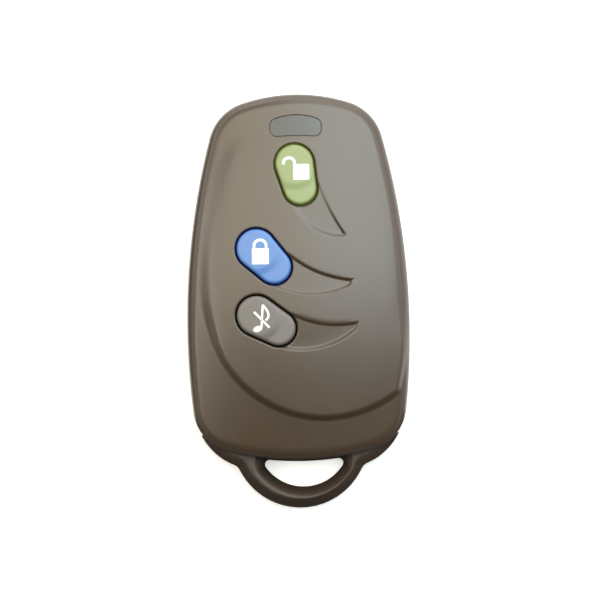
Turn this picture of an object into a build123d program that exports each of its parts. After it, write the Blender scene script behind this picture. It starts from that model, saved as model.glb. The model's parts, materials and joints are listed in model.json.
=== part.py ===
from build123d import *
from math import asin, cos, degrees, radians, sin, sqrt
import os

os.makedirs("parts", exist_ok=True)

# The remote lies on its back: +Z out of the front face, +Y towards the lamp end, +X to the right.

# Case outline, seen from the front
case_length = 72.0
case_half_width = 19.35
widest_below_middle = 4.6
side_sweep = 6.61
lamp_end_radius = 30.0
lamp_corner_radius = 7.6
foot_radius = 49.0
foot_corner_radius = 8.0

# Case heights and walls
case_split = 5.6
crown_over_key_seat = 3.4
wall = 1.5
back_edge_radius = 3.0
rim_radius = 2.2
lip_thickness = 0.7
lip_height = 1.2
fit_gap = 0.1

# Crowned faces: each is part of a barrel, long arc along Y and cross arc along X
crown_long_radius = 190.0
crown_cross_radius = 70.0
rim_crest_below_lamp_end = 30.0

# Raised panel on the front cover
panel_rise = 0.6
panel_tilt_shift = 3.4
panel_left_inset = 3.05
panel_left_sweep = 6.12
panel_left_below_lamp_end = 32.0
panel_right_inset = 1.6
panel_right_sweep = 5.43
panel_right_below_lamp_end = 42.0
panel_foot_margin = 7.0
panel_foot_slack = 0.7
panel_foot_shift = 4.3
panel_blend_radius = 12.0
panel_foot_corner = 2.0
panel_tip_margin = 2.0
panel_tip_radius = 30.0
panel_tip_corner = 6.0
panel_fade_below_lamp_end = 7.0
panel_fade_radius = 60.0
panel_shoulder_radius = 0.8

# Key-ring loop, moulded with the rear cover
loop_reach = 8.4
loop_outer_radius = 11.8
loop_width = 3.7
loop_height = 4.2
loop_above_back = 1.3
loop_edge_radius = 1.7
loop_window_gap = 0.3
loop_window_shift = 0.3
loop_window_corner = 1.2
loop_root_reach = 1.6
loop_root_radius = 10.9
loop_root_side_inset = 1.05
loop_root_blend = 1.8

# Keys: a large head circle and a smaller tail circle, joined by their tangents
key_head_radius = 3.74
key_tail_radius = 3.3
key_spacing = 4.4
key_gap = 0.35
key_hole_edge_radius = 0.25
key_head_rise = 0.55
key_tail_rise = 0.2
key_edge_radius = 0.5
key_head_inset = 0.06
key_step_radius = 3.5
key_step_run = 0.8
key_step_depth = 0.8
key_flange_width = 0.8
key_flange_thickness = 0.8
key_guide_width = 1.2
key_side_room = 0.3

# Each key: place of its head centre, turn of its axis, and its comet recess from that centre
keys = {
    "unlock": dict(
        x=-0.3, below_lamp_end=12.1, turn=-74.0,
        upper=[(4.1, -3.6), (5.75, -7.6), (8.65, -12.6)],
        lower=[(8.3, -13.1), (2.2, -10.9), (-0.9, -6.0)],
    ),
    "lock": dict(
        x=-7.15, below_lamp_end=26.8, turn=-46.0,
        upper=[(5.5, -1.0), (9.7, -3.8), (16.5, -5.7)],
        lower=[(16.5, -6.7), (9.5, -8.25), (1.95, -6.1)],
    ),
    "mute": dict(
        x=-7.25, below_lamp_end=38.4, turn=-31.0,
        upper=[(5.95, 0.2), (11.1, -1.6), (17.6, -1.5)],
        lower=[(17.6, -2.6), (11.0, -6.0), (3.0, -5.45)],
    ),
}
recess_depth = 0.35
recess_slope = 4.0

# Lamp window and its lens
lens_width = 9.0
lens_height = 3.6
lens_below_lamp_end = 5.4
lens_top_radius = 10.6
lens_bottom_radius = 30.0
lens_corner_radius = 1.2
lens_led_gap = 0.64
lens_ear_width = 12.4
lens_ear_height = 2.4
lens_ear_thickness = 0.6
lens_ear_corner_radius = 0.6

# Board, cell and their stack above the rear wall
clip_clearance = 0.3
clip_thickness = 0.3
cell_radius = 10.0
cell_height = 3.2
contact_thickness = 0.3
board_thickness = 1.0
board_gap = 0.5

cell_below_lamp_end = 30.0
cell_wall = 0.25
cell_cap_radius = 8.85
cell_can_height = 2.9
cell_edge_radius = 0.4
clip_width = 7.0
clip_tongue_width = 3.0
clip_tongue_length = 9.0
clip_slot = 0.6
clip_bend_radius = 0.7
contact_length = 14.0
contact_width = 5.0
contact_hole_radius = 1.0

# Switches under the keys
switch_width = 4.5
switch_body_height = 1.1
switch_cover_thickness = 0.2
switch_corner = 0.3
plunger_radius = 1.1
plunger_stand = 0.3
plunger_travel = 0.25
plunger_flange_radius = 1.5
plunger_flange_height = 0.3
plunger_side_gap = 0.1

# Membrane
membrane_sheet = 0.6
membrane_skirt = 1.0
membrane_margin = 0.6
membrane_corner = 3.0

# Parts on the board
chip_from_board_side = 6.95
chip_below_lamp_end = 33.0
chip_width = 3.9
chip_length = 8.7
chip_height = 1.4
chip_stand = 0.1
lead_count = 14
lead_pitch = 1.27
lead_width = 0.4
lead_thickness = 0.2
lead_foot = 0.6
lead_reach = 1.05
resonator_size = (5.0, 3.5, 1.4)
resonator_below_lamp_end = 44.0
resonator_lid_edge = 0.35
resonator_flange_thickness = 0.45
transistor_size = (2.9, 1.3, 1.0)
transistor_below_lamp_end = 50.0
transistor_lead_pitch = 1.9
small_part_size = (1.6, 0.8, 0.45)
small_part_pitch = 2.2
small_part_edge = 0.1
resistor_rows = 4
resistor_row_pitch = 1.6
capacitor_count = 5
capacitor_from_board_side = 1.5
led_size = (3.2, 1.6, 0.5)
led_dome_radius = 0.7
led_dome_edge = 0.35
track_width = 0.8
track_thickness = 0.07
track_edge_gap = 0.8
track_below_lamp_end = 44.0

# Screw near the loop
screw_shank_radius = 1.0
screw_head_radius = 2.1
screw_head_height = 1.3
screw_boss_radius = 2.4
screw_post_radius = 3.1
screw_post_sink = 0.4
screw_sink = 2.2
screw_length = 6.6
screw_hole_gap = 0.05
screw_head_chamfer = 0.3
screw_tip_chamfer = 0.5

# Posts under the board and pillars above it
board_post_radius = 1.3
board_post_half_span = 14.4
board_post_below_lamp_end = 24.0
board_post_pitch = 25.0

# Places worked out from the sizes above
beyond_case = 2 * case_length
lamp_end_y = case_length / 2
foot_y = -case_length / 2 + loop_reach
board_half_width = case_half_width - wall - board_gap
rim_crest_y = lamp_end_y - rim_crest_below_lamp_end
panel_crest_y = rim_crest_y - panel_tilt_shift
clip_z = wall + clip_clearance
cell_z = clip_z + clip_thickness
contact_z = cell_z + cell_height
board_z = contact_z + contact_thickness
board_top = board_z + board_thickness
switch_top = board_top + switch_body_height + switch_cover_thickness
plunger_top = switch_top + plunger_stand
plunger_foot_z = switch_top - switch_cover_thickness - fit_gap - plunger_flange_height
cell_y = lamp_end_y - cell_below_lamp_end
chip_x = board_half_width - chip_from_board_side
chip_y = lamp_end_y - chip_below_lamp_end
capacitor_x = capacitor_from_board_side - board_half_width
membrane_z = plunger_top + fit_gap
key_foot_z = membrane_z + membrane_sheet + fit_gap
key_seat_z = key_foot_z + key_flange_thickness + fit_gap
crown_height = key_seat_z + crown_over_key_seat
rim_crown_height = crown_height - panel_rise
screw_y = foot_y + wall + screw_post_radius - screw_post_sink
screw_tip_z = screw_sink + screw_length
board_foot_y = screw_y + screw_post_radius + board_gap
board_post_y = lamp_end_y - board_post_below_lamp_end
board_post_places = [
    (side * board_post_half_span, board_post_y - row * board_post_pitch)
    for side in (-1, 1)
    for row in (0, 1)
]
lens_y = lamp_end_y - lens_below_lamp_end
loop_centre_y = -case_length / 2 + loop_outer_radius
loop_root_spacing = 2 * (case_half_width - loop_root_side_inset - loop_root_radius)


def arc_radius(half_chord, sweep):
    """Radius of an arc that swings in by sweep over half_chord, from its widest place."""
    return (half_chord**2 + sweep**2) / (2 * sweep)


def head_centre(key):
    return key["x"], lamp_end_y - key["below_lamp_end"]


def along_key(key, distance):
    """Point on the key's axis, measured from its head centre."""
    x, y = head_centre(key)
    turn = radians(key["turn"])
    return x + distance * cos(turn), y + distance * sin(turn)


def switch_centre(key):
    return along_key(key, key_spacing / 2)


def from_head(key, point):
    x, y = head_centre(key)
    return x + point[0], y + point[1]


def barrel_height(crest_height, crest_y, x, y, lift=0.0):
    """Height of a crowned face over a point of the board plane."""
    long_way = crown_long_radius + lift
    long_drop = long_way - sqrt(long_way**2 - (y - crest_y) ** 2)
    cross = crown_cross_radius + lift - long_drop
    return crest_height - crown_cross_radius + sqrt(cross**2 - x**2)


def membrane_span(axis):
    """Lowest and highest place that the keys and their margin reach along X (0) or Y (1)."""
    head_reach = key_head_radius + membrane_margin
    tail_reach = key_tail_radius + membrane_margin
    heads = [head_centre(key)[axis] for key in keys.values()]
    tails = [along_key(key, key_spacing)[axis] for key in keys.values()]
    lowest = min(min(heads) - head_reach, min(tails) - tail_reach)
    highest = max(max(heads) + head_reach, max(tails) + tail_reach)
    return lowest, highest


def end_limit(x, end_y, radius, towards_foot):
    """Everything on the inner side of an end arc, without limit the other way."""
    side = Align.MIN if towards_foot else Align.MAX
    centre_y = end_y + radius if towards_foot else end_y - radius
    with BuildSketch() as limit:
        with Locations((x, centre_y)):
            Circle(radius)
            Rectangle(2 * beyond_case, beyond_case, align=(Align.CENTER, side))
    return limit.sketch


def case_outline(inset=0.0):
    """Side, lamp end and foot arcs crossed, with rounded corners."""
    side_radius = arc_radius(lamp_end_y + widest_below_middle, side_sweep)
    side_shift = side_radius - case_half_width
    with BuildSketch() as outline:
        with Locations((-side_shift, -widest_below_middle)):
            Circle(side_radius - inset)
        with Locations((side_shift, -widest_below_middle)):
            Circle(side_radius - inset, mode=Mode.INTERSECT)
        lamp_limit = end_limit(0, lamp_end_y - inset, lamp_end_radius - inset, False)
        foot_limit = end_limit(0, foot_y + inset, foot_radius - inset, True)
        add(lamp_limit, mode=Mode.INTERSECT)
        add(foot_limit, mode=Mode.INTERSECT)
        fillet(outline.vertices().sort_by(Axis.Y)[-2:], lamp_corner_radius - inset)
        fillet(outline.vertices().sort_by(Axis.Y)[:2], foot_corner_radius - inset)
    return outline.sketch


def panel_outline():
    """Left, right and foot arcs crossed, closed a little below the lamp end."""
    panel_foot_y = foot_y + panel_foot_margin
    tip_y = lamp_end_y - panel_tip_margin
    left_y = lamp_end_y - panel_left_below_lamp_end
    right_y = lamp_end_y - panel_right_below_lamp_end
    panel_left = panel_left_inset - case_half_width
    panel_right = case_half_width - panel_right_inset
    left_radius = arc_radius(left_y - panel_foot_y, panel_left_sweep)
    right_radius = arc_radius(tip_y - right_y, panel_right_sweep)
    panel_foot_radius = panel_foot_shift - panel_left + panel_foot_slack
    foot_limit = end_limit(panel_foot_shift, panel_foot_y, panel_foot_radius, True)
    with BuildSketch() as outline:
        with Locations((panel_left + left_radius, left_y)):
            Circle(left_radius)
        with Locations((panel_right - right_radius, right_y)):
            Circle(right_radius, mode=Mode.INTERSECT)
        add(end_limit(0, tip_y, panel_tip_radius, False), mode=Mode.INTERSECT)
        add(foot_limit, mode=Mode.INTERSECT)
        fillet(outline.vertices().sort_by(Axis.Y)[-2:], panel_tip_corner)
        foot_corners = outline.vertices().sort_by(Axis.Y)[:2].sort_by(Axis.X)
        fillet(foot_corners[0], panel_blend_radius)
        fillet(outline.vertices().sort_by(Axis.Y)[0], panel_foot_corner)
    return outline.sketch


def key_outline(key, grow=0.0):
    """Head circle and tail circle with the straight sides that touch both."""
    head = key_head_radius + grow
    tail = key_tail_radius + grow
    lean = asin((head - tail) / key_spacing)
    head_side = (head * sin(lean), head * cos(lean))
    tail_side = (key_spacing + tail * sin(lean), tail * cos(lean))
    with BuildSketch() as outline:
        with Locations(Location((*head_centre(key), 0), (0, 0, key["turn"]))):
            Circle(head)
            Polygon(
                head_side,
                tail_side,
                (tail_side[0], -tail_side[1]),
                (head_side[0], -head_side[1]),
                align=None,
            )
            with Locations((key_spacing, 0)):
                Circle(tail)
    return outline.sketch


def lens_outline(inset=0.0):
    """Kidney: arched top, hollow foot and rounded corners."""
    with BuildSketch() as outline:
        with Locations((0, lens_y + lens_height / 2 - lens_top_radius)):
            Circle(lens_top_radius - inset)
        with Locations((0, lens_y)):
            Rectangle(lens_width - 2 * inset, 2 * lens_height, mode=Mode.INTERSECT)
        with Locations((0, lens_y - lens_height / 2 - lens_bottom_radius)):
            Circle(lens_bottom_radius + inset, mode=Mode.SUBTRACT)
        fillet(outline.vertices(), lens_corner_radius - inset)
    return outline.sketch


def barrel(crest_height, crest_y, lift=0.0, fade_start=None):
    """Wedge of a barrel whose crowned skin is a case face; lift moves that skin outwards."""
    cross = crown_cross_radius + lift
    long_way = crown_long_radius + lift
    axis_z = crest_height - crown_cross_radius
    side_plane = Plane(origin=(0, crest_y, axis_z), x_dir=(0, 1, 0), z_dir=(1, 0, 1))
    half_turn = degrees(asin(case_length / crown_long_radius))
    with BuildPart() as wedge:
        with BuildSketch(side_plane):
            with BuildLine():
                back = JernArc((0, cross), (-1, 0), long_way, half_turn)
                if fade_start is None:
                    front = JernArc((0, cross), (1, 0), long_way, -half_turn)
                else:
                    first_turn = degrees(asin((fade_start - crest_y) / crown_long_radius))
                    first = JernArc((0, cross), (1, 0), long_way, -first_turn)
                    front = JernArc(first @ 1, first % 1, panel_fade_radius + lift, -half_turn)
                Polyline(front @ 1, ((front @ 1).X, 0), ((back @ 1).X, 0), back @ 1)
            make_face()
        revolve(axis=Axis((0, 0, axis_z), (0, 1, 0)), revolution_arc=90)
    return wedge.part


def comet_recess(key):
    """Cutter for the comet: its outline, down to the panel face lowered and tipped along the comet."""
    upper = [from_head(key, point) for point in key["upper"]]
    lower = [from_head(key, point) for point in key["lower"]]
    middle = (upper[1][0] + lower[1][0]) / 2, (upper[1][1] + lower[1][1]) / 2
    along = Vector(upper[2][0] - upper[0][0], upper[2][1] - upper[0][1])
    tip_axis = Axis((middle[0], middle[1], crown_height), (along.X, along.Y, 0))
    floor = panel_barrel.rotate(tip_axis, recess_slope).translate((0, 0, -recess_depth))
    with BuildPart() as cutter:
        with BuildSketch(Plane.XY.offset(key_seat_z)):
            with BuildLine():
                ThreePointArc(*upper)
                Line(upper[2], lower[0])
                ThreePointArc(*lower)
                Line(lower[2], upper[0])
            make_face()
        extrude(amount=crown_height)
        add(floor, mode=Mode.SUBTRACT)
    return cutter.part


def save(piece, name):
    piece.part.label = name
    export_step(piece.part, f"parts/{name}.step")


# Places of the inner parts
left, right = membrane_span(0)
low, high = membrane_span(1)
membrane_centre = ((left + right) / 2, (low + high) / 2)
membrane_size = (right - left, high - low)
resistor_y = chip_y + chip_length / 2 + resistor_rows * resistor_row_pitch / 2 + board_gap
above = (Align.CENTER, Align.MIN)
standing = (Align.CENTER, Align.CENTER, Align.MIN)
hanging = (Align.CENTER, Align.CENTER, Align.MAX)

# The lens reaches down to the lamp, and its ears lie just under the ceiling at their outer corners
lens_ear_end = (lens_ear_width / 2, lens_y + lens_ear_height / 2)
lens_ear_top = barrel_height(rim_crown_height, rim_crest_y, *lens_ear_end, lift=-wall) - fit_gap
lens_foot_z = board_top + led_size[2] + led_dome_radius + lens_led_gap

rim_barrel = barrel(rim_crown_height, rim_crest_y)
panel_barrel = barrel(crown_height, panel_crest_y, fade_start=lamp_end_y - panel_fade_below_lamp_end)

# Low rim face of the front cover, rounded all round
with BuildPart() as rim_body:
    with BuildSketch(Plane.XY.offset(case_split)):
        add(case_outline())
    extrude(amount=crown_height)
    add(rim_barrel, mode=Mode.INTERSECT)
    fillet(rim_body.faces().sort_by(Axis.Z)[-1].edges(), rim_radius)

# Raised panel, its shoulder rounded before it sinks into the rim face
with BuildPart() as panel_body:
    with BuildSketch(Plane.XY.offset(case_split)):
        add(panel_outline())
    extrude(amount=crown_height)
    add(panel_barrel, mode=Mode.INTERSECT)
    skins = panel_body.faces().filter_by(lambda face: face.normal_at().Z > 0.5)
    sides = panel_body.faces().filter_by(lambda face: abs(face.normal_at().Z) < 0.1)
    side_edges = sides.edges()
    shoulder = ShapeList(edge for edge in skins.edges() if edge in side_edges)
    fillet(shoulder, panel_shoulder_radius)

# Room inside the front cover, with the key guides and the screw boss left standing
with BuildPart() as front_room:
    with BuildSketch(Plane.XY.offset(case_split)):
        add(case_outline(wall))
    extrude(amount=crown_height)
    add(barrel(rim_crown_height, rim_crest_y, lift=-wall), mode=Mode.INTERSECT)
    fillet(front_room.faces().sort_by(Axis.Z)[-1].edges(), rim_radius - wall)
    for key in keys.values():
        with BuildSketch(Plane.XY.offset(key_seat_z)):
            add(key_outline(key, key_guide_width))
        extrude(amount=crown_height, mode=Mode.SUBTRACT)
    with BuildSketch(Plane.XY.offset(case_split + fit_gap)):
        with Locations((0, screw_y)):
            Circle(screw_boss_radius)
    extrude(amount=crown_height, mode=Mode.SUBTRACT)
    with BuildSketch(Plane.XY.offset(board_top + fit_gap)):
        with Locations(*board_post_places):
            Circle(board_post_radius)
    extrude(amount=crown_height, mode=Mode.SUBTRACT)

with BuildPart() as front_cover:
    add(rim_body.part)
    add(panel_body.part)
    for key in keys.values():
        with BuildSketch(Plane.XY.offset(case_split)):
            add(key_outline(key))
        extrude(amount=crown_height, mode=Mode.SUBTRACT)
        hole_edges = front_cover.edges(Select.LAST).filter_by(Axis.Z, reverse=True)
        fillet([edge for edge in hole_edges if edge.center().Z > key_seat_z], key_hole_edge_radius)
    for key in keys.values():
        add(comet_recess(key), mode=Mode.SUBTRACT)
    with BuildSketch(Plane.XY.offset(case_split)):
        add(lens_outline())
    extrude(amount=crown_height, mode=Mode.SUBTRACT)
    add(front_room.part, mode=Mode.SUBTRACT)
    for key in keys.values():
        with BuildSketch(Plane.XY.offset(case_split)):
            add(key_outline(key, key_flange_width + key_side_room))
        extrude(amount=key_seat_z - case_split, mode=Mode.SUBTRACT)
    # Step in the wall for the rear cover's lip
    with BuildSketch(Plane.XY.offset(case_split)):
        add(case_outline(wall - lip_thickness - fit_gap))
        add(case_outline(wall), mode=Mode.SUBTRACT)
    extrude(amount=lip_height + fit_gap, mode=Mode.SUBTRACT)
    # Pilot hole for the screw
    with BuildSketch(Plane.XY.offset(case_split)):
        with Locations((0, screw_y)):
            Circle(screw_shank_radius + screw_hole_gap)
    extrude(amount=screw_tip_z + fit_gap - case_split, mode=Mode.SUBTRACT)

save(front_cover, "front_cover")

# Loop plate: ring and its root shoulders around the ring window, all edges rounded
with BuildPart() as loop:
    with BuildSketch(Plane.XY.offset(loop_above_back)):
        with Locations((0, foot_y - loop_root_reach + loop_root_radius)):
            Rectangle(loop_root_spacing, 2 * loop_root_radius)
            with GridLocations(loop_root_spacing, 0, 2, 1):
                Circle(loop_root_radius)
        with Locations((0, loop_centre_y)):
            Circle(loop_outer_radius)
        fillet(vertices().sort_by(Axis.Y)[:2], loop_root_blend)
        with BuildSketch(mode=Mode.PRIVATE) as window:
            with Locations((loop_window_shift, loop_centre_y)):
                Circle(loop_outer_radius - loop_width)
            with Locations((0, foot_y + foot_radius)):
                Circle(foot_radius + loop_window_gap, mode=Mode.SUBTRACT)
            fillet(window.vertices(), loop_window_corner)
        add(window.sketch, mode=Mode.SUBTRACT)
    extrude(amount=loop_height)
    fillet(loop.faces().filter_by(Axis.Z).edges(), loop_edge_radius)

# Room inside the rear cover, with the screw post and the board posts left standing
with BuildPart() as rear_room:
    with BuildSketch(Plane.XY.offset(wall)):
        add(case_outline(wall))
    extrude(amount=case_split + lip_height)
    fillet(rear_room.faces().sort_by(Axis.Z)[0].edges(), back_edge_radius - wall)
    with BuildSketch(Plane.XY.offset(wall)):
        with Locations((0, screw_y)):
            Circle(screw_post_radius)
    extrude(amount=case_split - wall, mode=Mode.SUBTRACT)
    with BuildSketch(Plane.XY.offset(wall)):
        with Locations(*board_post_places):
            Circle(board_post_radius)
    extrude(amount=board_z - wall, mode=Mode.SUBTRACT)

with BuildPart() as rear_cover:
    with BuildSketch():
        add(case_outline())
    extrude(amount=case_split)
    fillet(rear_cover.faces().sort_by(Axis.Z)[0].edges(), back_edge_radius)
    add(loop.part)
    with BuildSketch(Plane.XY.offset(case_split)):
        add(case_outline(wall - lip_thickness))
    extrude(amount=lip_height)
    add(rear_room.part, mode=Mode.SUBTRACT)
    # Counterbored hole for the screw
    with Locations(Plane.XY.rotated((180, 0, 0))):
        with Locations((0, -screw_y)):
            CounterBoreHole(
                screw_shank_radius + screw_hole_gap + fit_gap,
                screw_head_radius + fit_gap,
                screw_sink,
                case_split,
            )
save(rear_cover, "rear_cover")

# Lens: kidney window piece with two ears under the front cover
with BuildPart() as led_lens:
    with BuildSketch(Plane.XY.offset(lens_foot_z)):
        add(lens_outline(fit_gap))
    extrude(amount=crown_height)
    add(rim_barrel, mode=Mode.INTERSECT)
    with BuildSketch(Plane.XY.offset(lens_ear_top - lens_ear_thickness)):
        with Locations((0, lens_y)):
            RectangleRounded(lens_ear_width, lens_ear_height, lens_ear_corner_radius)
    extrude(amount=lens_ear_thickness)
save(led_lens, "led_lens")


def make_key(key):
    """Hard key: flange and tail level, with the head level standing a little inside it on a sloped step."""
    x, y = head_centre(key)
    step_spread = key_step_run * key_step_depth / (key_head_rise - key_tail_rise)
    levels = []
    for rise, inset in ((key_tail_rise, 0), (key_head_rise, key_head_inset)):
        with BuildPart() as level:
            with BuildSketch(Plane.XY.offset(key_foot_z)):
                add(key_outline(key, -key_gap - inset))
            extrude(amount=crown_height)
            add(panel_barrel.translate((0, 0, rise)), mode=Mode.INTERSECT)
            fillet(level.faces().sort_by(Axis.Z)[-1].edges(), key_edge_radius)
        levels.append(level.part)
    tail_level, head_level = levels
    with BuildPart() as head_limit:
        with Locations((x, y, barrel_height(crown_height, panel_crest_y, x, y) + key_head_rise)):
            Cone(
                key_step_radius + step_spread,
                key_step_radius,
                key_step_depth,
                align=(Align.CENTER, Align.CENTER, Align.MAX),
            )
    with BuildPart() as piece:
        add(head_level)
        add(head_limit.part, mode=Mode.INTERSECT)
        add(tail_level)
        with BuildSketch(Plane.XY.offset(key_foot_z)):
            add(key_outline(key, key_flange_width))
        extrude(amount=key_flange_thickness)
    return piece


for name, key in keys.items():
    save(make_key(key), f"{name}_key")


# Membrane: sheet under the keys with a skirt down to the board
with BuildPart() as keypad_membrane:
    with BuildSketch(Plane.XY.offset(board_top)):
        with Locations(membrane_centre):
            RectangleRounded(*membrane_size, membrane_corner)
    extrude(amount=membrane_z + membrane_sheet - board_top)
    with BuildSketch(Plane.XY.offset(board_top)):
        with Locations(membrane_centre):
            RectangleRounded(
                membrane_size[0] - 2 * membrane_skirt,
                membrane_size[1] - 2 * membrane_skirt,
                membrane_corner - membrane_skirt,
            )
    extrude(amount=membrane_z - board_top, mode=Mode.SUBTRACT)
save(keypad_membrane, "keypad_membrane")

# Board, cut straight above the screw post
with BuildPart() as circuit_board:
    with BuildSketch(Plane.XY.offset(board_z)):
        add(case_outline(wall + board_gap))
        with Locations((0, board_foot_y)):
            Rectangle(beyond_case, beyond_case, align=above, mode=Mode.INTERSECT)
    extrude(amount=board_thickness)
save(circuit_board, "circuit_board")

# Loop antenna: copper track along the sides and the foot of the board
with BuildPart() as antenna_track:
    with BuildSketch(Plane.XY.offset(board_top)):
        for mode, inset in ((Mode.ADD, track_edge_gap), (Mode.SUBTRACT, track_edge_gap + track_width)):
            with BuildSketch(mode=Mode.PRIVATE) as loop_area:
                add(case_outline(wall + board_gap + inset))
                with Locations((0, board_foot_y + inset)):
                    Rectangle(beyond_case, beyond_case, align=above, mode=Mode.INTERSECT)
            add(loop_area.sketch, mode=mode)
        with Locations((0, lamp_end_y - track_below_lamp_end)):
            Rectangle(beyond_case, beyond_case, align=above, mode=Mode.SUBTRACT)
    extrude(amount=track_thickness)
save(antenna_track, "antenna_track")

# Switch under the middle of each key
for name, key in keys.items():
    with BuildPart() as switch_body:
        with BuildSketch(Plane.XY.offset(board_top)):
            with Locations(switch_centre(key)):
                RectangleRounded(switch_width, switch_width, switch_corner)
        extrude(amount=switch_body_height)
        with BuildSketch(Plane.XY.offset(plunger_foot_z - plunger_travel - fit_gap)):
            with Locations(switch_centre(key)):
                Circle(plunger_flange_radius + plunger_side_gap)
        extrude(amount=switch_body_height, mode=Mode.SUBTRACT)
    save(switch_body, f"{name}_switch_body")
    with BuildPart() as switch_cover:
        with BuildSketch(Plane.XY.offset(board_top + switch_body_height)):
            with Locations(switch_centre(key)):
                RectangleRounded(switch_width, switch_width, switch_corner)
                Circle(plunger_radius + plunger_side_gap, mode=Mode.SUBTRACT)
        extrude(amount=switch_cover_thickness)
    save(switch_cover, f"{name}_switch_cover")
    with BuildPart() as switch_plunger:
        with BuildSketch(Plane.XY.offset(plunger_foot_z)):
            with Locations(switch_centre(key)):
                Circle(plunger_flange_radius)
        extrude(amount=plunger_flange_height)
        with BuildSketch(Plane.XY.offset(plunger_foot_z)):
            with Locations(switch_centre(key)):
                Circle(plunger_radius)
        extrude(amount=plunger_top - plunger_foot_z)
    save(switch_plunger, f"{name}_switch_plunger")

# Encoder chip and its gull-wing leads
with BuildPart() as encoder_chip:
    with Locations((chip_x, chip_y, board_top + chip_stand)):
        Box(chip_width, chip_length, chip_height, align=standing)
    chamfer(encoder_chip.faces().sort_by(Axis.Z)[-1].edges(), chip_stand)
save(encoder_chip, "encoder_chip")

lead_shoulder_z = board_top + chip_stand + chip_height / 2
lead_inner = chip_width / 2
lead_outer = lead_inner + lead_reach
lead_bend = lead_outer - lead_foot
lead_row_length = (lead_count / 2 - 1) * lead_pitch
with BuildPart() as encoder_leads:
    for row in range(lead_count // 2):
        row_y = chip_y - lead_row_length / 2 + row * lead_pitch
        with BuildSketch(Plane(origin=(chip_x, row_y, 0), x_dir=(1, 0, 0), z_dir=(0, -1, 0))):
            Polygon(
                (lead_inner, lead_shoulder_z),
                (lead_bend, lead_shoulder_z),
                (lead_bend, board_top + lead_thickness),
                (lead_outer, board_top + lead_thickness),
                (lead_outer, board_top),
                (lead_bend - lead_thickness, board_top),
                (lead_bend - lead_thickness, lead_shoulder_z - lead_thickness),
                (lead_inner, lead_shoulder_z - lead_thickness),
                align=None,
            )
            mirror(about=Plane.YZ)
        extrude(amount=lead_width / 2, both=True)
save(encoder_leads, "encoder_leads")

# Resonator in a flanged metal lid
with BuildPart() as saw_resonator:
    with Locations((chip_x, lamp_end_y - resonator_below_lamp_end, board_top)):
        Box(*resonator_size[:2], resonator_flange_thickness, align=standing)
        lid_size = [side - 2 * resonator_lid_edge for side in resonator_size[:2]]
        Box(*lid_size, resonator_size[2], align=standing)
    fillet(saw_resonator.faces().sort_by(Axis.Z)[-1].edges(), resonator_lid_edge)
save(saw_resonator, "saw_resonator")

# Transistor with three leads
with BuildPart() as rf_transistor:
    with Locations((chip_x, lamp_end_y - transistor_below_lamp_end, board_top)):
        with Locations((0, 0, chip_stand)):
            Box(*transistor_size, align=standing)
        with Locations(
            (-transistor_lead_pitch / 2, -transistor_size[1] / 2, 0),
            (transistor_lead_pitch / 2, -transistor_size[1] / 2, 0),
            (0, transistor_size[1] / 2, 0),
        ):
            Box(lead_width, 2 * lead_foot, lead_thickness, align=standing)
save(rf_transistor, "rf_transistor")

# Small parts: resistors above the chip, capacitors left of the membrane
with BuildPart() as chip_resistors:
    with Locations((chip_x, resistor_y, board_top)):
        with GridLocations(small_part_pitch, resistor_row_pitch, 2, resistor_rows):
            Box(*small_part_size, align=standing)
save(chip_resistors, "chip_resistors")

with BuildPart() as chip_capacitors:
    with Locations((capacitor_x, cell_y, board_top)):
        with GridLocations(small_part_pitch, small_part_pitch, 1, capacitor_count):
            Box(*small_part_size, align=standing)
    fillet(chip_capacitors.edges().filter_by(Axis.X).group_by(Axis.Z)[-1], small_part_edge)
save(chip_capacitors, "chip_capacitors")

# Lamp under the lens
with BuildPart() as status_led:
    with Locations((0, lens_y, board_top)):
        Box(*led_size, align=standing)
    with Locations((0, lens_y, board_top + led_size[2])):
        Cylinder(led_dome_radius, led_dome_radius, align=standing)
    fillet(status_led.edges().group_by(Axis.Z)[-1], led_dome_edge)
save(status_led, "status_led")

# Coin cell: can, seal and cap
with BuildPart() as coin_cell_can:
    with Locations((0, cell_y, cell_z)):
        Cylinder(cell_radius, cell_can_height, align=standing)
    fillet(coin_cell_can.edges().group_by(Axis.Z)[0], cell_edge_radius)
    with Locations((0, cell_y, cell_z + cell_wall)):
        Cylinder(cell_radius - cell_wall, cell_can_height, align=standing, mode=Mode.SUBTRACT)
save(coin_cell_can, "coin_cell_can")

with BuildPart() as coin_cell_gasket:
    with BuildSketch(Plane.XY.offset(cell_z + cell_wall)):
        with Locations((0, cell_y)):
            Circle(cell_radius - cell_wall)
            Circle(cell_cap_radius, mode=Mode.SUBTRACT)
    extrude(amount=cell_can_height - cell_wall)
save(coin_cell_gasket, "coin_cell_gasket")

with BuildPart() as coin_cell_cap:
    with Locations((0, cell_y, cell_z + cell_wall)):
        Cylinder(cell_cap_radius, cell_height - cell_wall, align=standing)
    fillet(coin_cell_cap.edges().group_by(Axis.Z)[-1], cell_wall)
save(coin_cell_cap, "coin_cell_cap")

# Clip that carries the cell: U of strip with a sprung tongue cut in its floor
clip_half = cell_radius + fit_gap
with BuildPart() as positive_contact:
    with BuildSketch(Plane.XZ.offset(-cell_y)):
        with Locations((0, clip_z)):
            Rectangle(2 * (clip_half + clip_thickness), board_z - clip_z, align=above)
            fillet(vertices().group_by(Axis.Y)[0], clip_bend_radius)
        with Locations((0, cell_z)):
            Rectangle(2 * clip_half, case_length, align=above, mode=Mode.SUBTRACT)
    extrude(amount=clip_width / 2, both=True)
    with BuildSketch(Plane.XY.offset(clip_z)):
        with Locations((0, cell_y)):
            Rectangle(clip_tongue_length, clip_tongue_width + 2 * clip_slot)
            with Locations((clip_slot, 0)):
                Rectangle(clip_tongue_length, clip_tongue_width, mode=Mode.SUBTRACT)
    extrude(amount=clip_thickness, mode=Mode.SUBTRACT)
save(positive_contact, "positive_contact")

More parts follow.
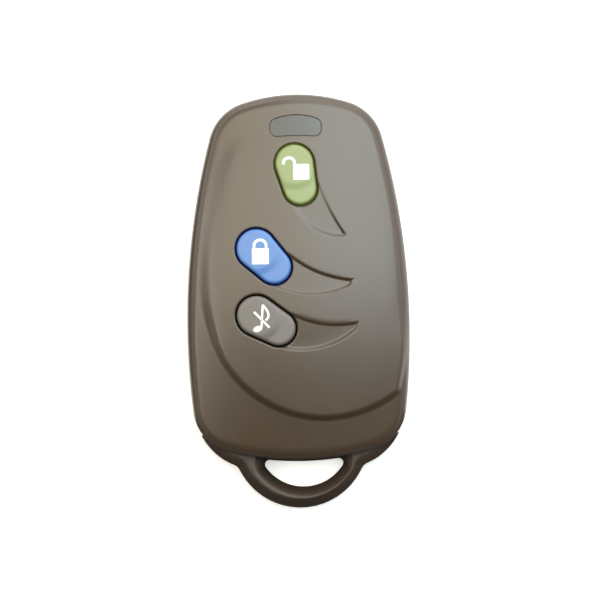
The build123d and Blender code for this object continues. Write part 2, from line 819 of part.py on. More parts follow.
# Contact strip between the cell's cap and the board
with BuildPart() as negative_contact:
    with BuildSketch(Plane.XY.offset(contact_z)):
        with Locations((0, cell_y)):
            SlotOverall(contact_length, contact_width)
            with GridLocations(contact_length - contact_width, 0, 2, 1):
                Circle(contact_hole_radius, mode=Mode.SUBTRACT)
    extrude(amount=contact_thickness)
save(negative_contact, "negative_contact")

# Screw from the back, its cross recess left to its finish
with BuildPart() as case_screw:
    with Locations((0, screw_y, screw_sink)):
        Cylinder(screw_head_radius, screw_head_height, align=hanging)
        Cylinder(screw_shank_radius, screw_length, align=standing)
    chamfer(case_screw.edges().group_by(Axis.Z)[0], screw_head_chamfer)
    chamfer(case_screw.edges().group_by(Axis.Z)[-1], screw_tip_chamfer)
save(case_screw, "case_screw")
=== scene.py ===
import json
from math import asin, atan2, comb, cos, pi, radians, sin, sqrt

import bmesh
import bpy
import numpy as np
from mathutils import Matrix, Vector
from mathutils.geometry import delaunay_2d_cdt


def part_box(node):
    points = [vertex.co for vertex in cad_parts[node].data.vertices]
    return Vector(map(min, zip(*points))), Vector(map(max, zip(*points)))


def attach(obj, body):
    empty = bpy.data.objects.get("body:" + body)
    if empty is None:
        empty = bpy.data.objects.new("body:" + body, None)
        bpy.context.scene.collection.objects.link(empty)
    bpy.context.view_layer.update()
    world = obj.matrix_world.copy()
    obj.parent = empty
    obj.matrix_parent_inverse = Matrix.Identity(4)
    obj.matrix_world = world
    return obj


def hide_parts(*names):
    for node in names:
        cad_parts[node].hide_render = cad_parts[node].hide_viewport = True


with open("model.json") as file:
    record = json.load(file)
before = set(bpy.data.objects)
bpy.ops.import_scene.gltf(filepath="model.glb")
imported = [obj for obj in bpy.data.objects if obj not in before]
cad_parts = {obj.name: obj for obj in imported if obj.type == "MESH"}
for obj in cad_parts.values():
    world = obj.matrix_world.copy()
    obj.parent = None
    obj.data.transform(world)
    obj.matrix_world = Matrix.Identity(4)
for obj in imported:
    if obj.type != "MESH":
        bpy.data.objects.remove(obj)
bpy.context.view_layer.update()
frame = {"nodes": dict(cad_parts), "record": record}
print("OK frame", len(frame["nodes"]), "solids")

# Shapes are worked out in millimetres and turned to metres when their mesh is made
mm = 0.001


# Lowest and highest corner of a solid
def boxMm(node):
    low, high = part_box(node)
    return np.array(low) / mm, np.array(high) / mm


coverLow, coverHigh = boxMm("front_cover")
rearLow, rearHigh = boxMm("rear_cover")
screwLow, screwHigh = boxMm("case_screw")
lensLow = boxMm("led_lens")[0]

meshing = dict(
    edgeClear=0.01,     # places nearer than this to an outline would crowd its own points
    smallest=0.05,      # side of the square in which one place is kept
    sameCorner=3e-7,    # corners closer than this are one, in metres
    shortest=1e-8,      # edges shorter than this go, in metres
    sharpAngle=50,      # degrees
    blockSize=2000,     # places compared with a loop at one time
)
straightRadius = 5000.0  # an arc as large as this passes for a straight end


# Loops of arcs

# Unit vectors at some angles
def unitAt(angle):
    return np.stack((np.cos(angle), np.sin(angle)), 1)


# Matrix that turns rows of places counter-clockwise
def turning(degrees):
    angle = radians(degrees)
    return np.array(((cos(angle), sin(angle)), (-sin(angle), cos(angle))))


# Circle through three places: its centre is equally far from all, which makes two linear equations
def circleThrough(a, b, c):
    a, b, c = np.array(a), np.array(b), np.array(c)
    rows = np.array((b - a, c - a))
    centre = a + np.linalg.solve(2 * rows, (rows**2).sum(1))
    return centre, np.linalg.norm(a - centre)


# Corner circle that touches two arcs: each arc's distance is its radius less side times the corner's radius
def cornerCentre(first, second, radius):
    a, b = np.array(first[:2]), np.array(second[:2])
    fromA, fromB = first[2] - first[3] * radius, second[2] - second[3] * radius
    along = b - a
    apart = np.linalg.norm(along)
    along = along / apart
    step = (fromA**2 - fromB**2 + apart**2) / (2 * apart)
    rise = sqrt(max(fromA**2 - step**2, 0))
    turnWay = -1 if radius < 0 else 1
    for side in (1, -1):
        centre = a + step * along + side * rise * np.array((-along[1], along[0]))
        toA, toB = first[3] * (centre - a), second[3] * (centre - b)
        if turnWay * (toA[0] * toB[1] - toA[1] * toB[0]) > 0:
            return centre
    raise ValueError("two arcs of a loop don't cross")


# Points and outward normals of an arc, its end left out: centre plus radius times unit vectors at even angles
def arcPoints(centre, radius, side, start, end, spacing):
    first = atan2(start[1] - centre[1], start[0] - centre[0])
    last = atan2(end[1] - centre[1], end[0] - centre[0])
    sweep = (last - first) * side % (2 * pi)
    count = max(1, round(sweep * radius / spacing))
    way = unitAt(first + side * sweep * np.arange(count) / count)
    return centre + radius * way, side * way


# Where a circle touches another: one radius from its centre, on the way to the other's centre
def touchPoint(centre, radius, other):
    way = other - centre
    return centre + radius * way / np.linalg.norm(way)


# Points and outward normals of a closed loop of arcs, counter-clockwise. An arc is centre x, centre y, radius
# and side: 1 keeps the inside of its circle, -1 the outside. A negative corner rounds a hollow corner.
def arcLoop(arcs, corners, spacing):
    count = len(arcs)
    centres = [cornerCentre(arcs[i], arcs[(i + 1) % count], corners[i]) for i in range(count)]
    points, normals = [], []
    for i, (x, y, radius, side) in enumerate(arcs):
        centre = np.array((x, y))
        following = arcs[(i + 1) % count]
        start = touchPoint(centre, radius, centres[i - 1])
        end = touchPoint(centre, radius, centres[i])
        pieces = [arcPoints(centre, radius, side, start, end, spacing)]
        if corners[i]:
            leave = touchPoint(np.array(following[:2]), following[2], centres[i])
            cornerSide = 1 if corners[i] > 0 else -1
            pieces.append(arcPoints(centres[i], abs(corners[i]), cornerSide, end, leave, spacing / 2))
        for arcPart, normalPart in pieces:
            points.append(arcPart)
            normals.append(normalPart)
    return np.concatenate(points), np.concatenate(normals)


# Circle: its centre plus the radius times unit vectors at even angles
def circleLoop(centre, radius, spacing):
    count = round(2 * pi * radius / spacing)
    way = unitAt(2 * pi * np.arange(count) / count)
    return np.array(centre) + radius * way, way


# Loop moved inwards: each point less the amount times its outward normal
def inset(shape, amount):
    return shape[0] - shape[1] * amount, shape[1]


# Rows of points some distances inside a loop, or outside it where they are negative
def ringRows(shape, distances):
    return [inset(shape, distance)[0] for distance in distances]


# Rows over a rounded edge: at radius times 1 less the cosine of each even step of a quarter turn
def roundRows(shape, radius, steps, start=0.0):
    turns = np.linspace(0, pi / 2, steps)[1:]
    return ringRows(shape, [start + radius * (1 - cos(turn)) for turn in turns])


# Radius of an arc from half its chord and its sweep: the sum of their squares over twice the sweep
def arcRadius(halfChord, sweep):
    return (halfChord**2 + sweep**2) / (2 * sweep)


# Depth of each place inside a loop, along the normal of the nearest loop point; negative outside
def depthIn(places, shape):
    points, normals = shape
    size = meshing["blockSize"]
    near = np.empty(len(places), int)
    for start in range(0, len(places), size):
        block = places[start:start + size]
        gap = ((block[:, None] - points[None]) ** 2).sum(-1)
        near[start:start + size] = gap.argmin(1)
    return ((points[near] - places) * normals[near]).sum(1), near


# Outlines

# Sizes of the case; its length, width and split come from the solids
case = dict(
    halfWidth=(coverHigh[0] - coverLow[0]) / 2,
    lampEndY=coverHigh[1],
    footY=coverLow[1],
    splitZ=coverLow[2],
    widestY=-4.6,
    sideSweep=6.61,
    lampEndRadius=30.0,
    lampCornerRadius=8.6,
    footRadius=49.0,
    footCornerRadius=8.0,
    wall=1.5,
    seam=0.12,          # bevel of both halves where they meet
    spacing=0.25,
)


# Case: a long arc on each side, a flat one at the foot and a rounder one at the lamp end
def caseLoop():
    side = arcRadius(case["lampEndY"] - case["widestY"], case["sideSweep"])
    shift = side - case["halfWidth"]
    arcs = [
        (0, case["footY"] + case["footRadius"], case["footRadius"], 1),
        (-shift, case["widestY"], side, 1),
        (0, case["lampEndY"] - case["lampEndRadius"], case["lampEndRadius"], 1),
        (shift, case["widestY"], side, 1),
    ]
    foot, lamp = case["footCornerRadius"], case["lampCornerRadius"]
    return arcLoop(arcs, [foot, lamp, lamp, foot], case["spacing"])


panel = dict(
    footY=case["footY"] + 7.0,
    tipY=case["lampEndY"] - 2.0,
    leftInset=3.05,
    leftY=4.0,
    leftSweep=6.12,
    rightInset=1.6,
    rightY=-6.0,
    rightSweep=5.43,
    footShift=4.3,
    footSlack=0.7,
    tipRadius=30.0,
    tipCorner=6.0,
    blendRadius=12.0,
    footCorner=2.0,
    fadeY=29.0,
    fadeRadius=60.0,
    wallWidth=(1.12, 2.5),   # soft wall round the panel, at its foot and higher up
    wallFrom=(-14.0, 2.0),   # it widens between these places along Y
    # The wall leaves the solid's line by this much outwards, on the left and on the right, at these places
    shiftY=(-24, -16.5, -8.7, 0, 9, 17, 25),
    leftShift=(-0.2, -0.5, -0.8, -0.15, -0.2, -0.35, 0.0),
    rightShift=(-0.2, -0.25, 0.9, 0.9, 0.95, 1.1, 1.1),
    shiftRun=12.0,           # left turns to right over this width
    softShare=0.5,           # share of the rise that spreads over the softer run beside the keys
    softFrom=(-8.0, 0.0),    # that run begins between these places
    softWidth=6.0,
    topFade=(24.0, 32.0),    # the panel merges with the rim between these places
    spacing=0.25,
)


# Panel: a foot arc shifted to the right, two side arcs and a tip arc, with a wide corner at the lower left
def panelLoop():
    left = arcRadius(panel["leftY"] - panel["footY"], panel["leftSweep"])
    right = arcRadius(panel["tipY"] - panel["rightY"], panel["rightSweep"])
    leftX = panel["leftInset"] - case["halfWidth"]
    rightX = case["halfWidth"] - panel["rightInset"]
    foot = panel["footShift"] - leftX + panel["footSlack"]
    arcs = [
        (panel["footShift"], panel["footY"] + foot, foot, 1),
        (rightX - right, panel["rightY"], right, 1),
        (0, panel["tipY"] - panel["tipRadius"], panel["tipRadius"], 1),
        (leftX + left, panel["leftY"], left, 1),
    ]
    tip = panel["tipCorner"]
    return arcLoop(arcs, [panel["footCorner"], tip, tip, panel["blendRadius"]], panel["spacing"])


lens = dict(
    width=9.0, height=3.6, y=30.6, topRadius=10.6, bottomRadius=30.0, corner=1.3, gap=0.01, edgeRadius=0.08,
    flange=0.9, flangeTop=9.0, rings=(0.015, 0.05, 0.1, 0.15, 0.3), pitch=0.5, spacing=0.15,
)


# Lens: a domed top, a slightly hollow bottom and nearly straight ends
def lensLoop():
    top = (0, lens["y"] + lens["height"] / 2 - lens["topRadius"], lens["topRadius"], 1)
    bottom = (0, lens["y"] - lens["height"] / 2 - lens["bottomRadius"], lens["bottomRadius"], -1)
    right = (lens["width"] / 2 - straightRadius, lens["y"], straightRadius, 1)
    left = (straightRadius - lens["width"] / 2, lens["y"], straightRadius, 1)
    return arcLoop([bottom, right, top, left], [lens["corner"]] * 4, lens["spacing"])


loop = dict(
    outerRadius=11.8, width=3.7, low=1.3, height=4.2, edgeRadius=1.7,
    windowGap=0.3, windowCorner=0.8, windowShift=0.55, windowSpacing=0.2,
    rootRadius=10.9, rootReach=1.6, rootSideInset=1.0, rootBlend=1.8,
    rootTop=4.5,            # the plate runs this far into the case
    crestFromEdge=1.6, crestFromWindow=1.9, ridge=1.0,
    crestSoft=0.002,        # rounds the crest a little
    rootFlatX=(8.5, 11.5),  # past these places the roots are flatter than the bow
    rootFlat=0.7,           # by this share
    edgeSteps=11, crestRings=(-0.3, -0.15, 0.0, 0.15, 0.3), pitch=0.9, spacing=0.25,
)
loop["y"] = rearLow[1] + loop["outerRadius"]


# Window of the loop: a circle cut off by an arc along the foot of the case
def windowLoop():
    inner = (loop["windowShift"], loop["y"], loop["outerRadius"] - loop["width"], 1)
    foot = (0, case["footY"] + case["footRadius"], case["footRadius"] + loop["windowGap"], -1)
    return arcLoop([inner, foot], [loop["windowCorner"]] * 2, loop["windowSpacing"])


# Plate of the loop: a circle that two root arcs lead into, closed inside the case
def loopPlateLoop():
    rootX = case["halfWidth"] - loop["rootSideInset"] - loop["rootRadius"]
    rootY = case["footY"] - loop["rootReach"] + loop["rootRadius"]
    arcs = [
        (-rootX, rootY, loop["rootRadius"], 1),
        (0, loop["y"], loop["outerRadius"], 1),
        (rootX, rootY, loop["rootRadius"], 1),
        (0, case["footY"] + loop["rootTop"] - straightRadius, straightRadius, 1),
    ]
    return arcLoop(arcs, [-loop["rootBlend"], -loop["rootBlend"], 0, 0], loop["spacing"])


keyForm = dict(
    headRadius=3.74,
    tailRadius=3.3,
    spacing=4.4,            # from head centre to tail centre
    gap=0.32,
    headRise=0.42,
    tailRise=0.3,
    crownShare=0.45,        # the keys' faces are flatter than the panel's
    edgeRadius=0.5,
    stepRadius=3.25,
    stepRun=1.5,
    holeEdge=0.2,
    flangeWidth=0.8,
    flangeLow=9.0,
    flangeHigh=9.8,
    edgeSteps=9,
    stepRings=np.linspace(-0.1, 1.1, 13),  # rings over the step, as shares of its run
    step=0.2,               # between the points of an outline
    pitch=0.4,
)
# Places of each key's head, its turn, and the comet recess beside it, from the head centre
keys = {
    "unlock": dict(
        head=(-0.3, 23.9), turn=-77.5, grow=-0.13,
        upper=[(4.1, -3.6), (5.75, -7.6), (8.65, -12.6)],
        lower=[(8.3, -13.1), (2.2, -10.9), (-0.9, -6.0)],
    ),
    "lock": dict(
        head=(-7.15, 9.2), turn=-46.0, grow=-0.03,
        upper=[(5.5, -1.0), (9.7, -3.8), (16.5, -5.7)],
        lower=[(16.5, -6.7), (9.5, -8.25), (1.95, -6.1)],
    ),
    "mute": dict(
        head=(-7.25, -2.4), turn=-31.0, grow=0.0,
        upper=[(5.95, 0.2), (11.1, -1.6), (17.6, -1.5)],
        lower=[(17.6, -2.6), (11.0, -6.0), (3.0, -5.45)],
    ),
}


# Key: a head circle and a tail circle with the straight sides that touch both. A side leaves its circle where
# the sine of its lean is the difference of the radii over the distance between the centres.
def keyLoop(key, grow):
    head, tail = [keyForm[radius] + key["grow"] + grow for radius in ("headRadius", "tailRadius")]
    apart, step = keyForm["spacing"], keyForm["step"]
    touch = pi / 2 - asin((head - tail) / apart)
    tailAngle = np.linspace(-touch, touch, round(2 * touch * tail / step), endpoint=False)
    headAngle = np.linspace(touch, 2 * pi - touch, round(2 * (pi - touch) * head / step), endpoint=False)
    sideCount = round(sqrt(apart**2 - (head - tail) ** 2) / step)
    along = np.arange(sideCount) / sideCount
    pieces = []
    for angle, radius, shift, otherRadius, otherShift, last in (
        (tailAngle, tail, apart, head, 0.0, touch), (headAngle, head, 0.0, tail, apart, 2 * pi - touch),
    ):
        way = unitAt(angle)
        pieces.append((radius * way + (shift, 0), way))
        way = np.array((cos(last), sin(last)))
        start, end = radius * way + (shift, 0), otherRadius * way + (otherShift, 0)
        run = start + (end - start) * along[:, None]
        pieces.append((run, np.broadcast_to(way, run.shape)))
    points = np.concatenate([piece[0] for piece in pieces])
    normals = np.concatenate([piece[1] for piece in pieces])
    spin = turning(key["turn"])
    return points @ spin + key["head"], normals @ spin


outline = caseLoop()
panelOutline = panelLoop()
lensHole = lensLoop()
keyHoles = {name: keyLoop(key, 0) for name, key in keys.items()}
holes = [(hole, keyForm["holeEdge"]) for hole in keyHoles.values()] + [(lensHole, lens["edgeRadius"])]


# Heights

crown = dict(
    rimTop=12.7,
    panelTop=13.3,
    longRadius=190.0,
    crossRadius=70.0,
    rimCrestY=6.0,
    panelCrestY=2.6,
    rimRadius=2.2,
    leanReach=0.05,         # the rim's lean is measured this far to each side
)


# Drop of a rounded edge at a depth: radius less the root of radius squared less (radius less depth) squared
def roundDrop(depth, radius):
    return radius - np.sqrt(radius**2 - np.clip(radius - depth, 0, radius) ** 2)


# 0 up to 0 and 1 from 1, and between them 3 times the square less 2 times the cube
def smoothStep(value):
    value = np.clip(value, 0, 1)
    return value * value * (3 - 2 * value)


# The same step between two given places
def stepBetween(value, span):
    return smoothStep((value - span[0]) / (span[1] - span[0]))


# Crowned face: a long arc along Y carried round a cross arc along X, with a tighter long arc past the fade.
# The height is the top less the cross radius, plus the root of (cross radius less drop) squared less x
# squared. A lift moves the whole face along its normals.
def crownHeight(places, top, crestY, lift=0.0, fadeY=None):
    x, y = places[:, 0], places[:, 1]
    long, cross = crown["longRadius"] + lift, crown["crossRadius"] + lift
    drop = long - np.sqrt(long**2 - (y - crestY) ** 2)
    if fadeY is not None:
        tight = panel["fadeRadius"] + lift
        lean = asin((fadeY - crestY) / crown["longRadius"])
        startY, startDrop = crestY + long * sin(lean), long * (1 - cos(lean))
        reach = np.clip(y - startY + tight * sin(lean), 0, tight)
        tightDrop = startDrop + tight * cos(lean) - np.sqrt(tight**2 - reach**2)
        drop = np.where(y > startY, tightDrop, drop)
    return top - crown["crossRadius"] + np.sqrt((cross - drop) ** 2 - x**2)


# Crowned face of the rim, before its outer edge is rounded
def rimFace(places):
    return crownHeight(places, crown["rimTop"], crown["rimCrestY"])


# Crowned face of the panel, which bends down towards the lamp end
def panelFace(places):
    return crownHeight(places, crown["panelTop"], crown["panelCrestY"], fadeY=panel["fadeY"])


# Inside of the cover: the rim's face one wall further in
def ceilingHeight(places):
    return crownHeight(places, crown["rimTop"], crown["rimCrestY"], lift=-case["wall"])


# Rim face with a round along the case outline, as a ball leaves it that touches the face and the side: its
# centre is one radius inside the outline and one radius below the face, along the face's normal
def rimHeight(places):
    radius, reach = crown["rimRadius"], crown["leanReach"]
    depth, near = depthIn(places, outline)
    normal = outline[1][near]
    seat = places + normal * (depth - radius)[:, None]
    step = reach * normal
    lean = np.arctan((rimFace(seat - step) - rimFace(seat + step)) / (2 * reach))
    centre = rimFace(seat) - radius / np.cos(lean)
    rounded = centre + radius - roundDrop(depth, radius)
    return np.where(depth < radius * (1 - np.sin(lean)), rounded, rimFace(places))


# Share of the panel's rise over the rim: a smooth step over the wall's width along the outline, part of it
# over the softer run, and none past the top fade
def panelShare(places):
    x, y = places.T
    depth = depthIn(places, panelOutline)[0]
    low, high = panel["wallWidth"]
    width = low + (high - low) * stepBetween(y, panel["wallFrom"])
    left, right = [np.interp(y, panel["shiftY"], panel[side]) for side in ("leftShift", "rightShift")]
    shift = left + (right - left) * smoothStep(x / panel["shiftRun"] + 0.5)
    soft = panel["softShare"] * stepBetween(y, panel["softFrom"])
    wall = (1 - soft) * smoothStep((depth + shift) / width + 0.5)
    wall = wall + soft * smoothStep((depth + shift) / panel["softWidth"] + 0.5)
    return wall * (1 - stepBetween(y, panel["topFade"]))


recess = dict(
    upperWall=0.55, tipWall=0.4, outset=0.35,
    depth=dict(unlock=0.3, lock=0.38, mute=0.38),
    lowerWall=dict(unlock=0.9, lock=0.6, mute=0.7),
    floorSlope=dict(unlock=0.8, lock=0.4, mute=-1.6),    # degrees, down towards the upper edge
    start=dict(unlock=0.45, lock=0.8, mute=0.9),         # share of the depth beside the key
    lip=dict(unlock=(0.0, 0.4), lock=(0.02, 0.4), mute=(0.035, 0.6)),  # drop and width above the upper edge
    lipFade=(3.0, 2.0, 2.0),  # the lip fades over these runs at the tip, the lower edge and the key
    keyReach=5.0,             # nothing further back than this from the upper edge's start belongs to it
)


# Both edges of a comet recess on the part, their circles with the side that the recess is on, and its way
def recessEdges(key):
    upper, lower = [np.array(key[edge]) + np.array(key["head"]) for edge in ("upper", "lower")]
    circles = []
    for arc, other in ((upper, lower), (lower, upper)):
        centre, radius = circleThrough(*arc)
        side = 1 if np.linalg.norm(other[1] - centre) < radius else -1
        circles.append((centre, radius, side))
    along = (upper[2] - upper[0]) / np.linalg.norm(upper[2] - upper[0])
    return upper, lower, circles, along


# Depth of a comet recess: the product of one smooth step for each edge, times a depth that grows from the key
# to the tip and slopes across, plus the lip. It starts at the chord between its ends, inside the key's hole.
def recessDepth(places, name):
    upper, lower, circles, along = recessEdges(keys[name])
    above, below = [
        side * (radius - np.linalg.norm(places - centre, axis=1)) for centre, radius, side in circles
    ]
    across = np.array((-along[1], along[0]))
    tip = ((upper[2] + lower[0]) / 2 - places) @ along
    ahead = (places - upper[0]) @ along
    chord = upper[0] - lower[2]
    beyondChord = chord[0] * (places[:, 1] - lower[2][1]) - chord[1] * (places[:, 0] - lower[2][0]) < 0
    beyondChord &= ahead > -recess["keyReach"]
    walls = smoothStep((above + recess["outset"]) / recess["upperWall"])
    walls = walls * smoothStep(below / recess["lowerWall"][name])
    walls = walls * smoothStep(tip / recess["tipWall"]) * beyondChord
    share = np.clip(ahead / np.linalg.norm(upper[2] - upper[0]), 0, 1)
    walls = walls * (recess["start"][name] + (1 - recess["start"][name]) * share)
    drop, width = recess["lip"][name]
    atTip, atLower, atKey = recess["lipFade"]
    lip = np.clip(1 + np.minimum(above + recess["outset"], 0) / width, 0, 1) ** 2 * beyondChord
    lip = lip * smoothStep(tip / atTip) * smoothStep(below / atLower) * smoothStep(ahead / atKey)
    slope = sin(radians(recess["floorSlope"][name]))
    middle = (upper[1] + lower[1]) / 2
    return walls * (recess["depth"][name] + slope * (places - middle) @ across) + lip * drop


# Face of the cover: the rim plus the panel's share of its rise, less the recesses and the holes' round edges
def frontHeight(places):
    rise = np.maximum(panelFace(places) - rimFace(places), 0)
    height = rimHeight(places) + rise * panelShare(places)
    for name in keys:
        height = height - recessDepth(places, name)
    for hole, edge in holes:
        height = height - roundDrop(-depthIn(places, hole)[0], edge)
    return height


# Meshes

# Even-odd test: a ray along X crosses the loop an odd number of times from inside
def insideLoop(places, line):
    following = np.roll(line, -1, 0)
    rise = following[:, 1] - line[:, 1]
    run = (following[:, 0] - line[:, 0]) / np.where(rise == 0, 1, rise)
    size = meshing["blockSize"]
    inside = np.empty(len(places), bool)
    for start in range(0, len(places), size):
        x, y = places[start:start + size].T[:, :, None]
        crosses = (line[:, 1] > y) != (following[:, 1] > y)
        crosses &= x < line[:, 0] + run * (y - line[:, 1])
        inside[start:start + size] = crosses.sum(1) % 2 == 1
    return inside


# Flat triangles that fill an outer loop and leave its holes open, with each given inner place as a corner
def fillLoops(loops, inner):
    corners = np.concatenate([*loops, inner])
    starts = np.cumsum([0] + [len(line) for line in loops])
    edges = []
    for start, line in zip(starts, loops):
        index = np.arange(len(line))
        edges += (np.stack((index, np.roll(index, -1)), 1) + start).tolist()
    insideOnly, nearest = 1, 1e-6
    found = delaunay_2d_cdt([Vector(corner) for corner in corners.tolist()], edges, [], insideOnly, nearest)
    # Given corners come back slightly rounded, so each takes its exact place again
    places = np.array([tuple(place) for place in found[0]])
    given = np.array([origins[0] if origins else -1 for origins in found[3]])
    places[given >= 0] = corners[given[given >= 0]]
    faces = np.array(found[2])
    middle = places[faces].mean(1)
    kept = insideLoop(middle, loops[0])
    for line in loops[1:]:
        kept &= ~insideLoop(middle, line)
    return places, faces[kept].tolist()


# Even grid of places over a box
def gridOver(points, pitch):
    low, high = points.min(0), points.max(0)
    x, y = np.meshgrid(np.arange(low[0], high[0], pitch), np.arange(low[1], high[1], pitch))
    return np.stack((x.ravel(), y.ravel()), 1)


# Keeps the first of the places that fall in one small square
def thinned(places, size):
    index = np.unique(np.round(places / size).astype(int), axis=0, return_index=True)[1]
    return places[np.sort(index)]


# Flat places with a height, one for all or one for each
def raised(points, height):
    return np.column_stack((points, np.broadcast_to(height, len(points))))


# Filled loops with each corner raised to the height at its place
def skin(loops, inner, height):
    places, faces = fillLoops(loops, inner)
    return raised(places, height(places)), faces


# Filled loop at one height, with no places inside it
def flatSkin(line, height):
    return skin([line], np.empty((0, 2)), lambda places: height)


# Closed band between rows of equal length: each row is an (n, 3) array
def band(rows):
    count = len(rows[0])
    corner = np.arange(count)
    following = np.roll(corner, -1)
    faces = []
    for row in range(len(rows) - 1):
        low, high = row * count, (row + 1) * count
        faces += np.stack((corner + low, following + low, following + high, corner + high), 1).tolist()
    return np.concatenate(rows), faces


# Joins skins and bands into one closed mesh, its faces outwards and its sharp edges marked. The first part
# takes the first material and the others the last.
def makePiece(name, parts, materials, body, replaced=None):
    corners, faces, start = [], [], 0
    for points, polygons in parts:
        corners.append(points)
        faces += [[index + start for index in polygon] for polygon in polygons]
        start += len(points)
    mesh = bpy.data.meshes.new(name)
    mesh.from_pydata((np.concatenate(corners) * mm).tolist(), [], faces)
    for material in materials:
        mesh.materials.append(material)
    slots = np.full(len(faces), len(materials) - 1, np.int32)
    slots[:len(parts[0][1])] = 0
    mesh.polygons.foreach_set("material_index", slots)
    shape = bmesh.new()
    shape.from_mesh(mesh)
    bmesh.ops.remove_doubles(shape, verts=shape.verts, dist=meshing["sameCorner"])
    bmesh.ops.dissolve_degenerate(shape, edges=shape.edges, dist=meshing["shortest"])
    bmesh.ops.recalc_face_normals(shape, faces=shape.faces)
    openEdges = sum(not edge.is_manifold for edge in shape.edges)
    shape.to_mesh(mesh)
    shape.free()
    mesh.shade_smooth()
    mesh.set_sharp_from_angle(angle=radians(meshing["sharpAngle"]))
    piece = bpy.data.objects.new(name, mesh)
    bpy.context.scene.collection.objects.link(piece)
    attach(piece, body)
    if replaced:
        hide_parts(replaced)
    print("OK piece", name, len(mesh.polygons), "faces", openEdges, "open edges")
    return piece


# Materials

noiseRange = {"From Min": 0.3, "From Max": 0.7}  # nearly all of a noise lies between these


# Hex colour to linear, by the sRGB curve
def linear(hexColour):
    value = np.array([int(hexColour[i:i + 2], 16) for i in (1, 3, 5)]) / 255
    low = value <= 0.04045
    return (*np.where(low, value / 12.92, ((value + 0.055) / 1.055) ** 2.4), 1.0)


# One node with its settings, the values of its sockets and what is linked to them
def addNode(material, kind, values=None, links=None, **settings):
    node = material.node_tree.nodes.new(kind)
    for name, value in settings.items():
        setattr(node, name, value)
    for socket, value in (values or {}).items():
        node.inputs[socket].default_value = value
    for socket, source in (links or {}).items():
        material.node_tree.links.new(source, node.inputs[socket])
    return node


def newMaterial(name):
    material = bpy.data.materials.new(name)
    material.use_nodes = True
    material.node_tree.nodes.clear()
    return material


# Finish whose colour and roughness follow one pattern, each from its lower value to its upper one
def finishFrom(material, look, pattern, spread, values, links=None):
    colour = addNode(material, "ShaderNodeMix", {6: linear(look["dark"]), 7: linear(look["light"])},
                     {"Factor": pattern}, data_type="RGBA")
    rough = addNode(material, "ShaderNodeMapRange", {
        **noiseRange, "To Min": look["roughness"] - spread, "To Max": look["roughness"] + spread,
    }, {"Value": pattern})
    shader = addNode(material, "ShaderNodeBsdfPrincipled", values, {
        "Base Color": colour.outputs[2], "Roughness": rough.outputs["Result"], **(links or {}),
    })
    addNode(material, "ShaderNodeOutputMaterial", links={"Surface": shader.outputs["BSDF"]})
    return material


# Moulded plastic: a fine spark-eroded grain in the bump, a slow drift of colour and of roughness
def mouldedPlastic(name, look):
    material = newMaterial(name)
    place = addNode(material, "ShaderNodeTexCoord").outputs["Object"]
    drift = addNode(material, "ShaderNodeTexNoise", {"Scale": 1 / (look["driftMm"] * mm), "Detail": 3.0},
                    {"Vector": place})
    grain = addNode(material, "ShaderNodeTexNoise", {"Scale": 1 / (look["grainMm"] * mm), "Detail": 2.0},
                    {"Vector": place})
    bump = addNode(material, "ShaderNodeBump", {"Strength": 1.0, "Distance": look["grainDepthMm"] * mm},
                   {"Height": grain.outputs["Fac"]})
    spread = look.get("roughnessSpread", 0.03)
    values = {"IOR": look["ior"], **look.get("sockets", {})}
    links = {"Normal": bump.outputs["Normal"]}
    return finishFrom(material, look, drift.outputs["Fac"], spread, values, links)


# Sheet or strip metal: fine brushed lines along Y and small differences of roughness
def stripMetal(name, look):
    material = newMaterial(name)
    place = addNode(material, "ShaderNodeTexCoord").outputs["Object"]
    stretch = addNode(material, "ShaderNodeMapping", {"Scale": (1.0, 0.06, 1.0)}, {"Vector": place})
    lines = addNode(material, "ShaderNodeTexNoise", {"Scale": 1 / (look["lineMm"] * mm), "Detail": 3.0},
                    {"Vector": stretch.outputs["Vector"]})
    spread = look.get("roughnessSpread", 0.06)
    return finishFrom(material, look, lines.outputs["Fac"], spread, {"Metallic": 1.0})


# ABS moulded in a lightly spark-eroded tool: satin taupe, soft wide highlights, no grain seen from a step off
coverPlastic = mouldedPlastic("satinTaupeAbs", dict(
    dark="#42362a", light="#483c2f", roughness=0.29, roughnessSpread=0.013, driftMm=14.0, grainMm=0.16,
    grainDepthMm=0.0016, ior=1.54,
))
# The same ABS in a darker batch for the back half, which shows as the loop
backPlastic = mouldedPlastic("satinBrownAbs", dict(
    dark="#31261d", light="#372b21", roughness=0.46, driftMm=12.0, grainMm=0.16, grainDepthMm=0.002, ior=1.45,
))
# Smoke-grey polycarbonate, frosted inside: cloudy, and as satin as the case
lensPlastic = mouldedPlastic("frostedGreyPolycarbonate", dict(
    dark="#222222", light="#2a2a2a", roughness=0.31, driftMm=3.0, grainMm=0.3, grainDepthMm=0.0008, ior=1.58,
    sockets={"Transmission Weight": 0.05},
))
# Hard ABS key tops in solid colours: finer grain than the case, with a soft sheen
topLook = dict(roughness=0.33, driftMm=5.0, grainMm=0.14, grainDepthMm=0.001, ior=1.54)
greenPlastic = mouldedPlastic("softGreenAbs", dict(topLook, dark="#7c8a54", light="#85935d"))
bluePlastic = mouldedPlastic("skyBlueAbs", dict(topLook, dark="#4873b2", light="#537ebc"))
greyPlastic = mouldedPlastic("warmGreyAbs", dict(topLook, dark="#605a56", light="#67615d", roughness=0.35))
# Sides of the keys below the satin tops: painted shade, the same plastic in a deeper tint with little shine,
# standing in for the shade down in the gap
paintedShadeSideLook = dict(roughness=0.5, driftMm=4.0, grainMm=0.3, grainDepthMm=0.001, ior=1.5,
                sockets={"Specular IOR Level": 0.1})
paintedShadeGreenSides = mouldedPlastic("paintedShadeOliveSides", dict(paintedShadeSideLook, dark="#8f9a3a", light="#9aa445"))
paintedShadeBlueSides = mouldedPlastic("paintedShadeNavySides", dict(paintedShadeSideLook, dark="#0e2ab4", light="#1432be"))
paintedShadeGreySides = mouldedPlastic("paintedShadeBlackSides", dict(paintedShadeSideLook, dark="#0c0a09", light="#12100f"))
